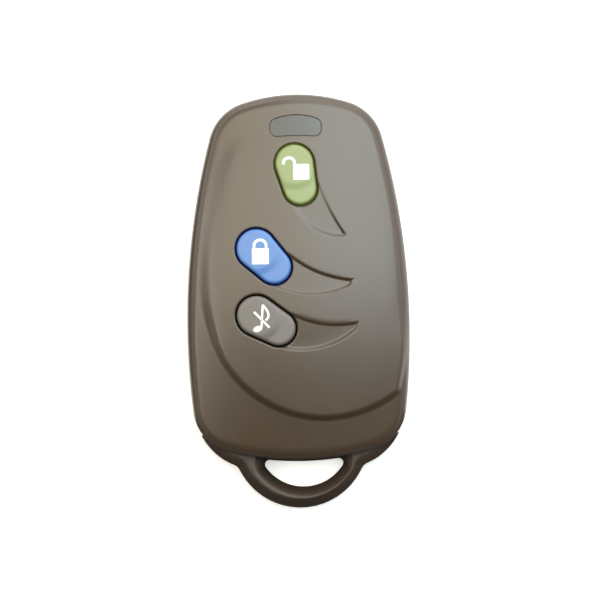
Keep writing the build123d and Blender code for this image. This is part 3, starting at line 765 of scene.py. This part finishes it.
# Pad-printed white ink: flat, opaque and slightly chalky
signInk = mouldedPlastic("whitePadPrint", dict(
    dark="#eeeeea", light="#f4f4f0", roughness=0.5, driftMm=1.0, grainMm=0.05, grainDepthMm=0.0008, ior=1.5,
))
print("OK materials of the case, lens, keys and signs")


# Front cover

# Rows of places lie at these distances inside an edge, or outside it where they are negative
coverMesh = dict(
    rimSteps=10,
    panelRings=[-1.9, -1.6, -1.3, -1.05, -0.85, -0.68, -0.54, -0.42, -0.31, -0.2, -0.1, 0.0,
                0.1, 0.2, 0.31, 0.42, 0.54, 0.68, 0.85, 1.05, 1.3, 1.6],
    holeRings=[-0.015, -0.06, -0.13, -0.25, -0.45],
    lensRings=[-0.01, -0.05, -0.15, -0.35],
    upperRings=[-1.1, -0.8, -0.6, -0.45, -0.35, -0.27, -0.18, -0.09, 0.0, 0.08, 0.16, 0.24, 0.3, 0.4],
    lowerRings=[-0.08, 0.0, 0.1, 0.22, 0.36, 0.5, 0.64, 0.76, 0.9],
    tipRings=[-0.06, 0.0, 0.1, 0.2, 0.3, 0.4],
    tipPlaces=9,
    recessSpacing=0.2,
    pitch=0.7,
    smallest=0.055,
    insidePitch=2.0,
    insideClear=(1.0, 0.5),  # from the wall and from the holes
)


# Places along the edges of a comet recess, a set of rows a little inside and outside each edge
def recessPlaces(key):
    upper, lower, circles, along = recessEdges(key)
    rows = []
    for arc, (centre, radius, side), distances in (
        (upper, circles[0], coverMesh["upperRings"]), (lower, circles[1], coverMesh["lowerRings"]),
    ):
        first, last = [atan2(*(end - centre)[::-1]) for end in (arc[0], arc[2])]
        sweep = (last - first + pi) % (2 * pi) - pi
        count = round(abs(sweep) * radius / coverMesh["recessSpacing"])
        way = unitAt(first + sweep * np.linspace(0, 1, count))
        rows += [centre + (radius - side * distance) * way for distance in distances]
    across = np.linspace(0, 1, coverMesh["tipPlaces"])[:, None]
    tip = upper[2] + (lower[0] - upper[2]) * across
    rows += [tip - along * distance for distance in coverMesh["tipRings"]]
    return np.concatenate(rows)


# Rows along every feature of the face, and an even grid in the calm areas between them
def coverPlaces():
    rows = [row for hole in keyHoles.values() for row in ringRows(hole, coverMesh["holeRings"])]
    rows += ringRows(lensHole, coverMesh["lensRings"])
    rows += roundRows(outline, crown["rimRadius"], coverMesh["rimSteps"])
    rows += [recessPlaces(key) for key in keys.values()]
    rows += ringRows(panelOutline, coverMesh["panelRings"])
    grid = gridOver(outline[0], coverMesh["pitch"])
    edge = depthIn(grid, panelOutline)[0]
    calm = (edge < coverMesh["panelRings"][0]) | (edge > coverMesh["panelRings"][-1])
    calm &= depthIn(grid, outline)[0] > crown["rimRadius"]
    places = np.concatenate((*rows, grid[calm]))
    keep = depthIn(places, outline)[0] > meshing["edgeClear"]
    for hole, _ in holes:
        keep &= depthIn(places, hole)[0] < -meshing["edgeClear"]
    return thinned(places[keep], coverMesh["smallest"])


def makeFrontCover():
    edge, wall, seam, split = outline[0], case["wall"], case["seam"], case["splitZ"]
    inner = inset(outline, wall)[0]
    holeLines = [hole[0] for hole, _ in holes]
    fromWall, fromHole = coverMesh["insideClear"]
    grid = gridOver(edge, coverMesh["insidePitch"])
    keep = depthIn(grid, outline)[0] > wall + fromWall
    for hole, _ in holes:
        keep &= depthIn(grid, hole)[0] < -fromHole
    parts = [skin([edge] + holeLines, coverPlaces(), frontHeight)]
    parts.append(skin([inner] + holeLines, grid[keep], ceilingHeight))
    parts.append(band([
        raised(edge, frontHeight(edge)),
        raised(edge, split + seam),
        raised(inset(outline, seam)[0], split),
        raised(inner, split),
        raised(inner, ceilingHeight(inner)),
    ]))
    for line in holeLines:
        parts.append(band([raised(line, frontHeight(line)), raised(line, ceilingHeight(line))]))
    return makePiece("frontCover", parts, [coverPlastic], "case", "front_cover")


makeFrontCover()


# Rear cover, screwed from the back beside the loop

rear = dict(
    edgeRadius=3.0, lip=0.8, lipTop=rearHigh[2], edgeSteps=12, pitch=1.0,
    postRadius=3.1, postTop=5.5, postEdge=0.2, postSpacing=0.4,
    postRings=(-0.11, -0.04, 0.04, 0.11),
    boreRadius=2.2, boreEdge=0.2, boreDepth=2.2, boreSpacing=0.2,
    boreRings=(-0.015, -0.05, -0.11, -0.2, -0.45),
    gridClear=(0.3, 0.6),   # from the rounded edge and from the bore
)
screwCentre = ((screwLow + screwHigh) / 2)[:2]
boreLoop = circleLoop(screwCentre, rear["boreRadius"], rear["boreSpacing"])


# Outside of the back: flat, with a round up to the side and a small one into the screw's bore
def backHeight(places):
    height = roundDrop(depthIn(places, outline)[0], rear["edgeRadius"])
    return height + roundDrop(-depthIn(places, boreLoop)[0], rear["boreEdge"])


# Inside of the back: one wall above the outside, with the screw post as a steep smooth step
def floorHeight(places):
    wall = case["wall"]
    depth = depthIn(places, outline)[0] - wall
    out = np.linalg.norm(places - screwCentre, axis=1) - rear["postRadius"]
    post = (rear["postTop"] - wall) * smoothStep(0.5 - out / rear["postEdge"])
    return wall + roundDrop(depth, rear["edgeRadius"] - wall) + post


def makeRearCover():
    edge, bore, wall, radius = outline[0], boreLoop[0], case["wall"], rear["edgeRadius"]
    split, seam, lip = case["splitZ"], case["seam"], inset(outline, rear["lip"])[0]
    inner = inset(outline, wall)[0]
    fromEdge, fromBore = rear["gridClear"]
    grid = gridOver(edge, rear["pitch"])
    grid = grid[(depthIn(grid, outline)[0] > radius + fromEdge) & (depthIn(grid, boreLoop)[0] < -fromBore)]
    back = roundRows(outline, radius, rear["edgeSteps"]) + ringRows(boreLoop, rear["boreRings"]) + [grid]
    floor = roundRows(outline, radius - wall, rear["edgeSteps"], start=wall)[::2]
    for distance in rear["postRings"]:
        floor.append(circleLoop(screwCentre, rear["postRadius"] + distance, rear["postSpacing"])[0])
    floor = thinned(np.concatenate(floor + [grid]), meshing["smallest"])
    parts = [skin([edge, bore], np.concatenate(back), backHeight), skin([inner], floor, floorHeight)]
    parts.append(band([
        raised(edge, backHeight(edge)),
        raised(edge, split - seam),
        raised(inset(outline, seam)[0], split),
        raised(lip, split),
        raised(lip, rear["lipTop"]),
        raised(inner, rear["lipTop"]),
        raised(inner, floorHeight(inner)),
    ]))
    parts.append(band([
        raised(bore, backHeight(bore)),
        raised(bore, rear["boreDepth"]),
        raised(np.broadcast_to(screwCentre, bore.shape), rear["boreDepth"]),
    ]))
    return makePiece("rearCover", parts, [backPlastic], "case", "rear_cover")


# Key-ring loop: a plate between two loops, rounded by its distance to the nearer one
def makeKeyRingLoop():
    plate, window = loopPlateLoop(), windowLoop()
    radius, low, high = loop["edgeRadius"], loop["low"], loop["low"] + loop["height"]

    # Distances from the plate's edge and from the window's
    def distances(places):
        return depthIn(places, plate)[0], -depthIn(places, window)[0]

    def edgeDrop(places):
        return roundDrop(np.minimum(*distances(places)), radius)

    # Above, both sides slope up to a narrow crest nearer to the outer edge
    def topHeight(places):
        outer, inner = distances(places)
        side = np.clip(np.minimum(outer / loop["crestFromEdge"], inner / loop["crestFromWindow"]), 0, 1)
        slope = loop["ridge"] * (np.sqrt((1 - side) ** 2 + loop["crestSoft"]) - sqrt(loop["crestSoft"]))
        share = 1 - loop["rootFlat"] * stepBetween(np.abs(places[:, 0]), loop["rootFlatX"])
        return high - (edgeDrop(places) + slope) * share

    # Below, it is flat with the same round edge
    def bottomHeight(places):
        return low + edgeDrop(places)

    rows = roundRows(plate, radius, loop["edgeSteps"]) + roundRows(window, -radius, loop["edgeSteps"])
    rows += ringRows(window, [-loop["crestFromWindow"] - distance for distance in loop["crestRings"]])
    places = np.concatenate(rows + [gridOver(plate[0], loop["pitch"])])
    places = places[np.minimum(*distances(places)) > meshing["edgeClear"]]
    places = thinned(places, meshing["smallest"])
    lines = [plate[0], window[0]]
    parts = [skin(lines, places, topHeight), skin(lines, places, bottomHeight)]
    for line in lines:
        parts.append(band([raised(line, topHeight(line)), raised(line, bottomHeight(line))]))
    return makePiece("keyRingLoop", parts, [backPlastic], "case", "rear_cover")


makeRearCover()
makeKeyRingLoop()


# Places inside an edge: the given rows and a grid, clear of the edge itself and thinned
def placesWithin(edge, rows, pitch):
    places = np.concatenate(rows + [gridOver(edge[0], pitch)])
    return thinned(places[depthIn(places, edge)[0] > meshing["edgeClear"]], meshing["smallest"])


# Closed body below a top face: straight sides down to a wider flange with a flat underside
def topWithFlange(edge, places, height, flange, flangeHigh, flangeLow):
    line = edge[0]
    sides = band([
        raised(line, height(line)),
        raised(line, flangeHigh),
        raised(flange, flangeHigh),
        raised(flange, flangeLow),
    ])
    return [skin([line], places, height), sides, flatSkin(flange, flangeLow)]


# Lamp lens, flush with the rim face
def makeLens():
    edge = inset(lensHole, lens["gap"])
    flange = inset(lensHole, -lens["flange"])[0]

    # The rim face less the drop of the lens's own round edge
    def lensHeight(places):
        return rimFace(places) - roundDrop(depthIn(places, edge)[0], lens["edgeRadius"])

    places = placesWithin(edge, ringRows(edge, lens["rings"]), lens["pitch"])
    parts = topWithFlange(edge, places, lensHeight, flange, lens["flangeTop"], lensLow[2])
    return makePiece("lampLens", parts, [lensPlastic], "case", "led_lens")


makeLens()


# Keys

# Key top: the flattened panel face, raised by the head's or the tail's level with a soft step between them,
# less the drop of its round edge
def keyTop(places, key):
    out = np.linalg.norm(places - key["head"], axis=1) - keyForm["stepRadius"]
    low = smoothStep(out / keyForm["stepRun"])
    level = keyForm["headRise"] + (keyForm["tailRise"] - keyForm["headRise"]) * low
    depth = depthIn(places, keyLoop(key, -keyForm["gap"]))[0]
    middle = panelFace(np.array([key["head"]]))
    face = middle + keyForm["crownShare"] * (panelFace(places) - middle)
    return face + level - roundDrop(depth, keyForm["edgeRadius"])


def makeKey(name, materials):
    key = keys[name]
    edge = keyLoop(key, -keyForm["gap"])
    flange = inset(edge, -keyForm["gap"] - keyForm["flangeWidth"])[0]

    def keyHeight(places):
        return keyTop(places, key)

    rows = roundRows(edge, keyForm["edgeRadius"], keyForm["edgeSteps"])
    for share in keyForm["stepRings"]:
        radius = keyForm["stepRadius"] + share * keyForm["stepRun"]
        rows.append(circleLoop(key["head"], radius, keyForm["step"])[0])
    places = placesWithin(edge, rows, keyForm["pitch"])
    parts = topWithFlange(edge, places, keyHeight, flange, keyForm["flangeHigh"], keyForm["flangeLow"])
    return makePiece(name + "Key", parts, materials, name + "_key", name + "_key")


# Each key's sides take its painted-shade material, the tint that stands in for the shade in the gap
makeKey("unlock", [greenPlastic, paintedShadeGreenSides])
makeKey("lock", [bluePlastic, paintedShadeBlueSides])
makeKey("mute", [greyPlastic, paintedShadeGreySides])


# Signs printed on the keys, placed from the head centre

signs = dict(
    thickness=0.03,
    sink=0.05,
    pitch=0.35,
    unlock=dict(
        body=(1.18, -1.44), size=(2.8, 2.74), shackle=(-0.93, 0.1), shackleRadius=0.98, stroke=0.5,
        fixedFoot=-0.1,     # one foot of the shackle ends in the body, from its top
        freeFoot=-0.2,      # and the other one stands free, from the centre of the arch
    ),
    lock=dict(
        body=(0.7, -1.3), size=(2.92, 2.78), shackle=(0.68, 0.54), shackleRadius=1.05, stroke=0.47,
        fixedFoot=0.08,     # both feet end this far above the body's top
    ),
    mute=dict(
        note=(0.17, -2.3), noteSize=(0.82, 0.5), noteTurn=20.0, stem=((0.82, -2.0), (1.08, 1.88)),
        flag=((1.03, 1.88), (1.83, 0.98), (2.5, 0.08), (1.98, -0.57), (1.53, -0.82)),
        slash=((-0.45, 0.65), (2.2, -2.1)), stroke=0.38,
    ),
    corner=0.12,            # of a padlock's body
    archShare=0.95,         # height of a shackle's arch over its half width
    cornerSteps=5, archSteps=21, noteSteps=24, lineSteps=16,
)


# Outline of a stroke: a path of points carried half a width to each side
def strokeLoop(path, width):
    path = np.array(path)
    way = np.gradient(path, axis=0)
    way = way / np.linalg.norm(way, axis=1)[:, None]
    normal = np.stack((way[:, 1], -way[:, 0]), 1) * width / 2
    return np.concatenate((path + normal, (path - normal)[::-1]))


# Part of an ellipse between two angles: its centre plus each half axis times the cosine or sine
def arcPath(centre, radius, first, last, count):
    angle = np.radians(np.linspace(first, last, count))
    return np.array(centre) + np.stack((radius[0] * np.cos(angle), radius[1] * np.sin(angle)), 1)


# Rectangle with a quarter circle at each corner
def roundedRectangle(centre, size, corner):
    half = np.array(size) / 2 - corner
    pieces = []
    for start, way in ((0, (1, 1)), (90, (-1, 1)), (180, (-1, -1)), (270, (1, -1))):
        pieces.append(arcPath(half * way, (corner, corner), start, start + 90, signs["cornerSteps"]))
    return np.concatenate(pieces) + centre


# A thin layer over each outline, from a little below the key's face to a little above it
def printSign(name, outlines):
    key = keys[name]
    parts = []
    for line in outlines:
        line = line + key["head"]
        grid = gridOver(line, signs["pitch"]) + signs["pitch"] / 2
        middle = grid[insideLoop(grid, line)]
        for lift in (signs["thickness"], -signs["sink"]):
            parts.append(skin([line], middle, lambda places: keyTop(places, key) + lift))
        top = keyTop(line, key)
        parts.append(band([raised(line, top + signs["thickness"]), raised(line, top - signs["sink"])]))
    return makePiece(name + "Sign", parts, [signInk], name + "_key")


# Body with a shackle over it; one foot of an open shackle stands free beside the body
def padlock(look):
    x, y = look["shackle"]
    radius = look["shackleRadius"]
    arch = arcPath((x, y), (radius, radius * signs["archShare"]), 0, 180, signs["archSteps"])
    fixed = look["body"][1] + look["size"][1] / 2 + look["fixedFoot"]
    free = y + look["freeFoot"] if "freeFoot" in look else fixed
    shackle = np.concatenate(([(x + radius, fixed)], arch, [(x - radius, free)]))
    body = roundedRectangle(look["body"], look["size"], signs["corner"])
    return [body, strokeLoop(shackle, look["stroke"])]


# A turned ellipse for the note's head, and strokes for its stem, its flag and the slash across it
def crossedNote(look):
    count = signs["noteSteps"]
    head = arcPath((0, 0), look["noteSize"], 0, 360 - 360 / count, count) @ turning(look["noteTurn"])
    share = np.linspace(0, 1, signs["lineSteps"])[:, None]
    stem, slash = [np.array(look[line]) for line in ("stem", "slash")]
    # The flag is a Bezier curve: its points weighted by the binomial shares of the way along it
    order = len(look["flag"]) - 1
    flag = sum(
        comb(order, i) * share**i * (1 - share) ** (order - i) * np.array(point)
        for i, point in enumerate(look["flag"])
    )
    lines = [stem[0] + (stem[1] - stem[0]) * share, flag, slash[0] + (slash[1] - slash[0]) * share]
    return [head + look["note"]] + [strokeLoop(line, look["stroke"]) for line in lines]


printSign("unlock", padlock(signs["unlock"]))
printSign("lock", padlock(signs["lock"]))
printSign("mute", crossedNote(signs["mute"]))


# Parts inside the case keep the solids' shapes and get their real finishes, one for each slot of the record

finishes = dict(
    cover_plastic=coverPlastic, back_plastic=backPlastic, lens_plastic=lensPlastic, green_key=greenPlastic,
    blue_key=bluePlastic, grey_key=greyPlastic,
)
# Moulded silicone rubber: matt, soft and a little dusty
finishes["silicone"] = mouldedPlastic("mouldedSilicone", dict(
    dark="#55524e", light="#5e5b57", roughness=0.75, driftMm=6.0, grainMm=0.4, grainDepthMm=0.004, ior=1.41,
))
# Glass-fibre laminate under green solder mask: glossy, with the weave faint below it
finishes["board_laminate"] = mouldedPlastic("solderMaskedLaminate", dict(
    dark="#1b5a33", light="#23683c", roughness=0.28, driftMm=0.9, grainMm=0.5, grainDepthMm=0.003, ior=1.5,
    sockets={"Coat Weight": 0.4},
))
# Etched copper under clear lacquer: warm metal, slightly dulled
finishes["copper_track"] = stripMetal("etchedCopper", dict(
    dark="#b5703f", light="#c9824e", roughness=0.35, lineMm=0.2,
))
# Transfer-moulded epoxy: black and evenly fine-grained
finishes["chip_plastic"] = mouldedPlastic("mouldedBlackEpoxy", dict(
    dark="#1a1a1c", light="#222224", roughness=0.6, driftMm=1.5, grainMm=0.08, grainDepthMm=0.003, ior=1.55,
))
# Tin-plated copper leads: pale and bright with fine drawn lines
finishes["tinned_lead"] = stripMetal("tinPlatedCopper", dict(
    dark="#bdbdb9", light="#cfcfcb", roughness=0.3, lineMm=0.08,
))
# Gold-flashed lid of a nickel-cobalt alloy: pale brass tone, rolled
finishes["lid_metal"] = stripMetal("goldFlashedLid", dict(
    dark="#b59e63", light="#c9b275", roughness=0.32, lineMm=0.1,
))
# Glazed thick-film resistors: black glaze with a soft shine
finishes["resistor_ceramic"] = mouldedPlastic("glazedThickFilm", dict(
    dark="#1e2024", light="#2a2c30", roughness=0.35, driftMm=0.5, grainMm=0.1, grainDepthMm=0.002, ior=1.52,
))
# Bare barium-titanate ceramic: sandy tan and matt
finishes["capacitor_ceramic"] = mouldedPlastic("bareTitanateCeramic", dict(
    dark="#a07b52", light="#b18a5f", roughness=0.65, driftMm=0.5, grainMm=0.1, grainDepthMm=0.003, ior=1.6,
))
# Clear epoxy over a white lamp base: milky and glossy
finishes["led_resin"] = mouldedPlastic("clearLampEpoxy", dict(
    dark="#dfd6bf", light="#ece4cf", roughness=0.15, driftMm=0.8, grainMm=0.3, grainDepthMm=0.001, ior=1.53,
    sockets={"Transmission Weight": 0.3},
))
# Stamped stainless steel of the coin cell: bright with rolling lines
finishes["cell_steel"] = stripMetal("rolledStainlessSteel", dict(
    dark="#bfc0bd", light="#d2d3d0", roughness=0.24, lineMm=0.15,
))
# Nylon seal ring of the cell: nearly black and matt
finishes["gasket_plastic"] = mouldedPlastic("mouldedNylonSeal", dict(
    dark="#262626", light="#2e2e2e", roughness=0.5, driftMm=2.0, grainMm=0.15, grainDepthMm=0.002, ior=1.53,
))
# Nickel-plated spring strip: slightly yellow, drawn along its length
finishes["contact_steel"] = stripMetal("nickelPlatedSpringStrip", dict(
    dark="#c6bfae", light="#d8d1bf", roughness=0.28, lineMm=0.12,
))
# Nylon switch base: black with a dull sheen
finishes["switch_plastic"] = mouldedPlastic("mouldedBlackNylon", dict(
    dark="#1c1c1e", light="#252527", roughness=0.5, driftMm=1.5, grainMm=0.1, grainDepthMm=0.002, ior=1.53,
))
# Stamped switch covers: rolled steel strip, bright
finishes["switch_steel"] = stripMetal("stampedSteelStrip", dict(
    dark="#b4b6b6", light="#c8caca", roughness=0.3, lineMm=0.1,
))
# Acetal plungers: black, smooth and waxy
finishes["plunger_plastic"] = mouldedPlastic("mouldedBlackAcetal", dict(
    dark="#151517", light="#1d1d1f", roughness=0.4, driftMm=1.5, grainMm=0.15, grainDepthMm=0.001, ior=1.48,
))
# Zinc-plated screw steel: cool grey, turned
finishes["zinc_steel"] = stripMetal("zincPlatedSteel", dict(
    dark="#a3a7ac", light="#b6babf", roughness=0.34, lineMm=0.1,
))

finished = 0
for part in frame["record"]["subparts"]:
    node = frame["nodes"].get(part["node"])
    if node and part.get("material_slot") in finishes:
        for slot in node.material_slots:
            slot.material = finishes[part["material_slot"]]
        finished += 1
print("OK finishes on", finished, "solids")


# Camera: far off with a long lens, so that near and far parts keep one scale

view = dict(
    frameMm=104.5,         # width that the photograph takes in
    centre=(0.32, 0.2),    # object place at the middle of the frame, in millimetres
    roll=-0.0157,          # the remote leans a little to the left in the frame
    planeMm=6.0,           # height at which the frame has that width
    distance=2.4,
    sensorMm=36,
)
cameraData = bpy.data.cameras.new("camera")
cameraData.sensor_width = view["sensorMm"]
cameraData.lens = view["sensorMm"] * view["distance"] / (view["frameMm"] * mm)
camera = bpy.data.objects.new("camera", cameraData)
camera.location = (*[place * mm for place in view["centre"]], view["planeMm"] * mm + view["distance"])
camera.rotation_euler = (0, 0, view["roll"])
bpy.context.scene.collection.objects.link(camera)
bpy.context.scene.camera = camera
print("OK camera", round(cameraData.lens), "mm lens")


# Lamps. The object mirrors each of them where its surface leans that way: the wide boxes overhead in the
# upper half of the cover and not in the lower, the low ones in the rim and the loop. They stand so close
# together that no dark line shows between their reflections.

lamps = dict(
    mainBox=dict(
        place=(1.2, 0.91, 3.0), aim=(1.2, 0.91, 0), size=(2.2, 2.34), radiance=5.5, colour="#f4ffff"),
    warmBox=dict(
        place=(-0.67, 0.64, 3.0), aim=(-0.67, 0.64, 0), size=(1.54, 1.96), radiance=4.0, colour="#fff9de"),
    leftBox=dict(
        place=(-1.1, -0.04, 1.41), aim=(0, 0, 0), size=(0.95, 0.68), radiance=4.6, colour="#fff8ec"),
    farBox=dict(
        place=(0.5, 1.7, 1.4), aim=(0, 0, 0), size=(1.5, 1.3), radiance=2.4, colour="#ffffff"),
    lowLeftBox=dict(
        place=(-1.5, 0.65, 0.4), aim=(0, 0, 0), size=(1.3, 0.7), radiance=1.6, colour="#fff8ec"),
    lowBox=dict(
        place=(0.1, 1.7, 0.3), aim=(0.1, 0, 0), size=(3.2, 0.5), radiance=3.0, colour="#ffffff"),
    rightBox=dict(
        place=(1.48, 0.58, 0.85), aim=(0, 0, 0), size=(1.4, 1.1), radiance=1.9, colour="#f4f0ff"),
)


# Soft box: its power is the radiance times pi times its area, so a larger one looks just as bright
def softBox(name, look):
    width, height = look["size"]
    data = bpy.data.lights.new(name, "AREA")
    data.color = linear(look["colour"])[:3]
    data.shape = "RECTANGLE"
    data.size, data.size_y = width, height
    data.energy = look["radiance"] * pi * width * height
    lamp = bpy.data.objects.new(name, data)
    lamp.location = look["place"]
    lamp.rotation_euler = (Vector(look["aim"]) - Vector(look["place"])).to_track_quat("-Z", "Y").to_euler()
    bpy.context.scene.collection.objects.link(lamp)
    return lamp


for name, look in lamps.items():
    softBox(name, look)
print("OK lamps", len(lamps))


# Background and floor

# 1 for a ray from the camera, a glossy bounce or a clear piece, and 0 for every other ray
def seenByEye(material):
    rays = addNode(material, "ShaderNodeLightPath").outputs
    direct = addNode(material, "ShaderNodeMath", links={0: rays["Is Camera Ray"], 1: rays["Is Glossy Ray"]},
                     operation="ADD")
    anyOf = addNode(material, "ShaderNodeMath", links={0: direct.outputs[0], 1: rays["Is Transmission Ray"]},
                    operation="ADD", use_clamp=True)
    return anyOf.outputs[0]


stage = dict(
    worldLight=0.02,        # strength of the white world where neither the camera nor a reflection sees it
    paperLift=0.5,          # glow of the paper where one of them does
    floorHalf=4.0,
    flagHalfWidth=2.5,
    flagEdges=((-0.14, 1.8), (-2.2, 0.02)),  # Y and Z of its near and far edge
    # Left, right, near and far edge of each card, and the height they lie at
    cards=dict(frontStrip=(-1.6, 0.5, -1.6, -0.022), leftStrip=(-1.6, -0.03, -0.022, 0.12)),
    cardZ=0.0004,
)

# White world: plain white to the camera and in reflections, and nearly no other light
world = bpy.data.worlds.new("studio")
world.use_nodes = True
strength = addNode(world, "ShaderNodeMapRange", {"To Min": stage["worldLight"], "To Max": 1.0},
                   {"Value": seenByEye(world)})
background = world.node_tree.nodes["Background"]
background.inputs["Color"].default_value = linear("#ffffff")
world.node_tree.links.new(strength.outputs["Result"], background.inputs["Strength"])
bpy.context.scene.world = world


# Flat four-cornered sheet that isn't part of the object
def stageSheet(name, corners, material):
    mesh = bpy.data.meshes.new(name)
    mesh.from_pydata(corners, [], [(0, 1, 2, 3)])
    mesh.materials.append(material)
    sheet = bpy.data.objects.new(name, mesh)
    bpy.context.scene.collection.objects.link(sheet)
    return sheet


# Corners of a level sheet, counter-clockwise from its near left one
def levelCorners(left, right, near, far, z):
    return [(left, near, z), (right, near, z), (right, far, z), (left, far, z)]


def mattMaterial(name, hexColour):
    material = newMaterial(name)
    matt = addNode(material, "ShaderNodeBsdfDiffuse", {"Color": linear(hexColour)})
    addNode(material, "ShaderNodeOutputMaterial", links={"Surface": matt.outputs[0]})
    return material


# Black velvet flag on the loop's side: it takes the shine off the lower half
half = stage["flagHalfWidth"]
near, far = stage["flagEdges"]
flag = stageSheet("flag", [(-half, *near), (half, *near), (half, *far), (-half, *far)],
                  mattMaterial("blackVelvet", "#0d0d0d"))
flag.visible_camera = False

# Two grey cards on the table, before the loop and at the left, seen only in reflections
greyCard = mattMaterial("greyCard", "#595959")
for name, edges in stage["cards"].items():
    card = stageSheet(name, levelCorners(*edges, stage["cardZ"]), greyCard)
    card.visible_camera = False
    card.visible_diffuse = False
    card.visible_shadow = False

# White paper sweep: matt, and lifted to plain white where the camera or a reflection sees it
paper = newMaterial("whitePaper")
lift = addNode(paper, "ShaderNodeMath", {1: stage["paperLift"]}, {0: seenByEye(paper)}, operation="MULTIPLY")
matt = addNode(paper, "ShaderNodeBsdfDiffuse", {"Color": linear("#f4f4f2")})
glow = addNode(paper, "ShaderNodeEmission", {"Color": linear("#ffffff")}, {"Strength": lift.outputs[0]})
both = addNode(paper, "ShaderNodeAddShader", links={0: matt.outputs[0], 1: glow.outputs[0]})
addNode(paper, "ShaderNodeOutputMaterial", links={"Surface": both.outputs[0]})
side = stage["floorHalf"]
stageSheet("floor", levelCorners(-side, side, -side, side, 0), paper)
print("OK background and floor")

bpy.context.scene.view_settings.view_transform = "Standard"
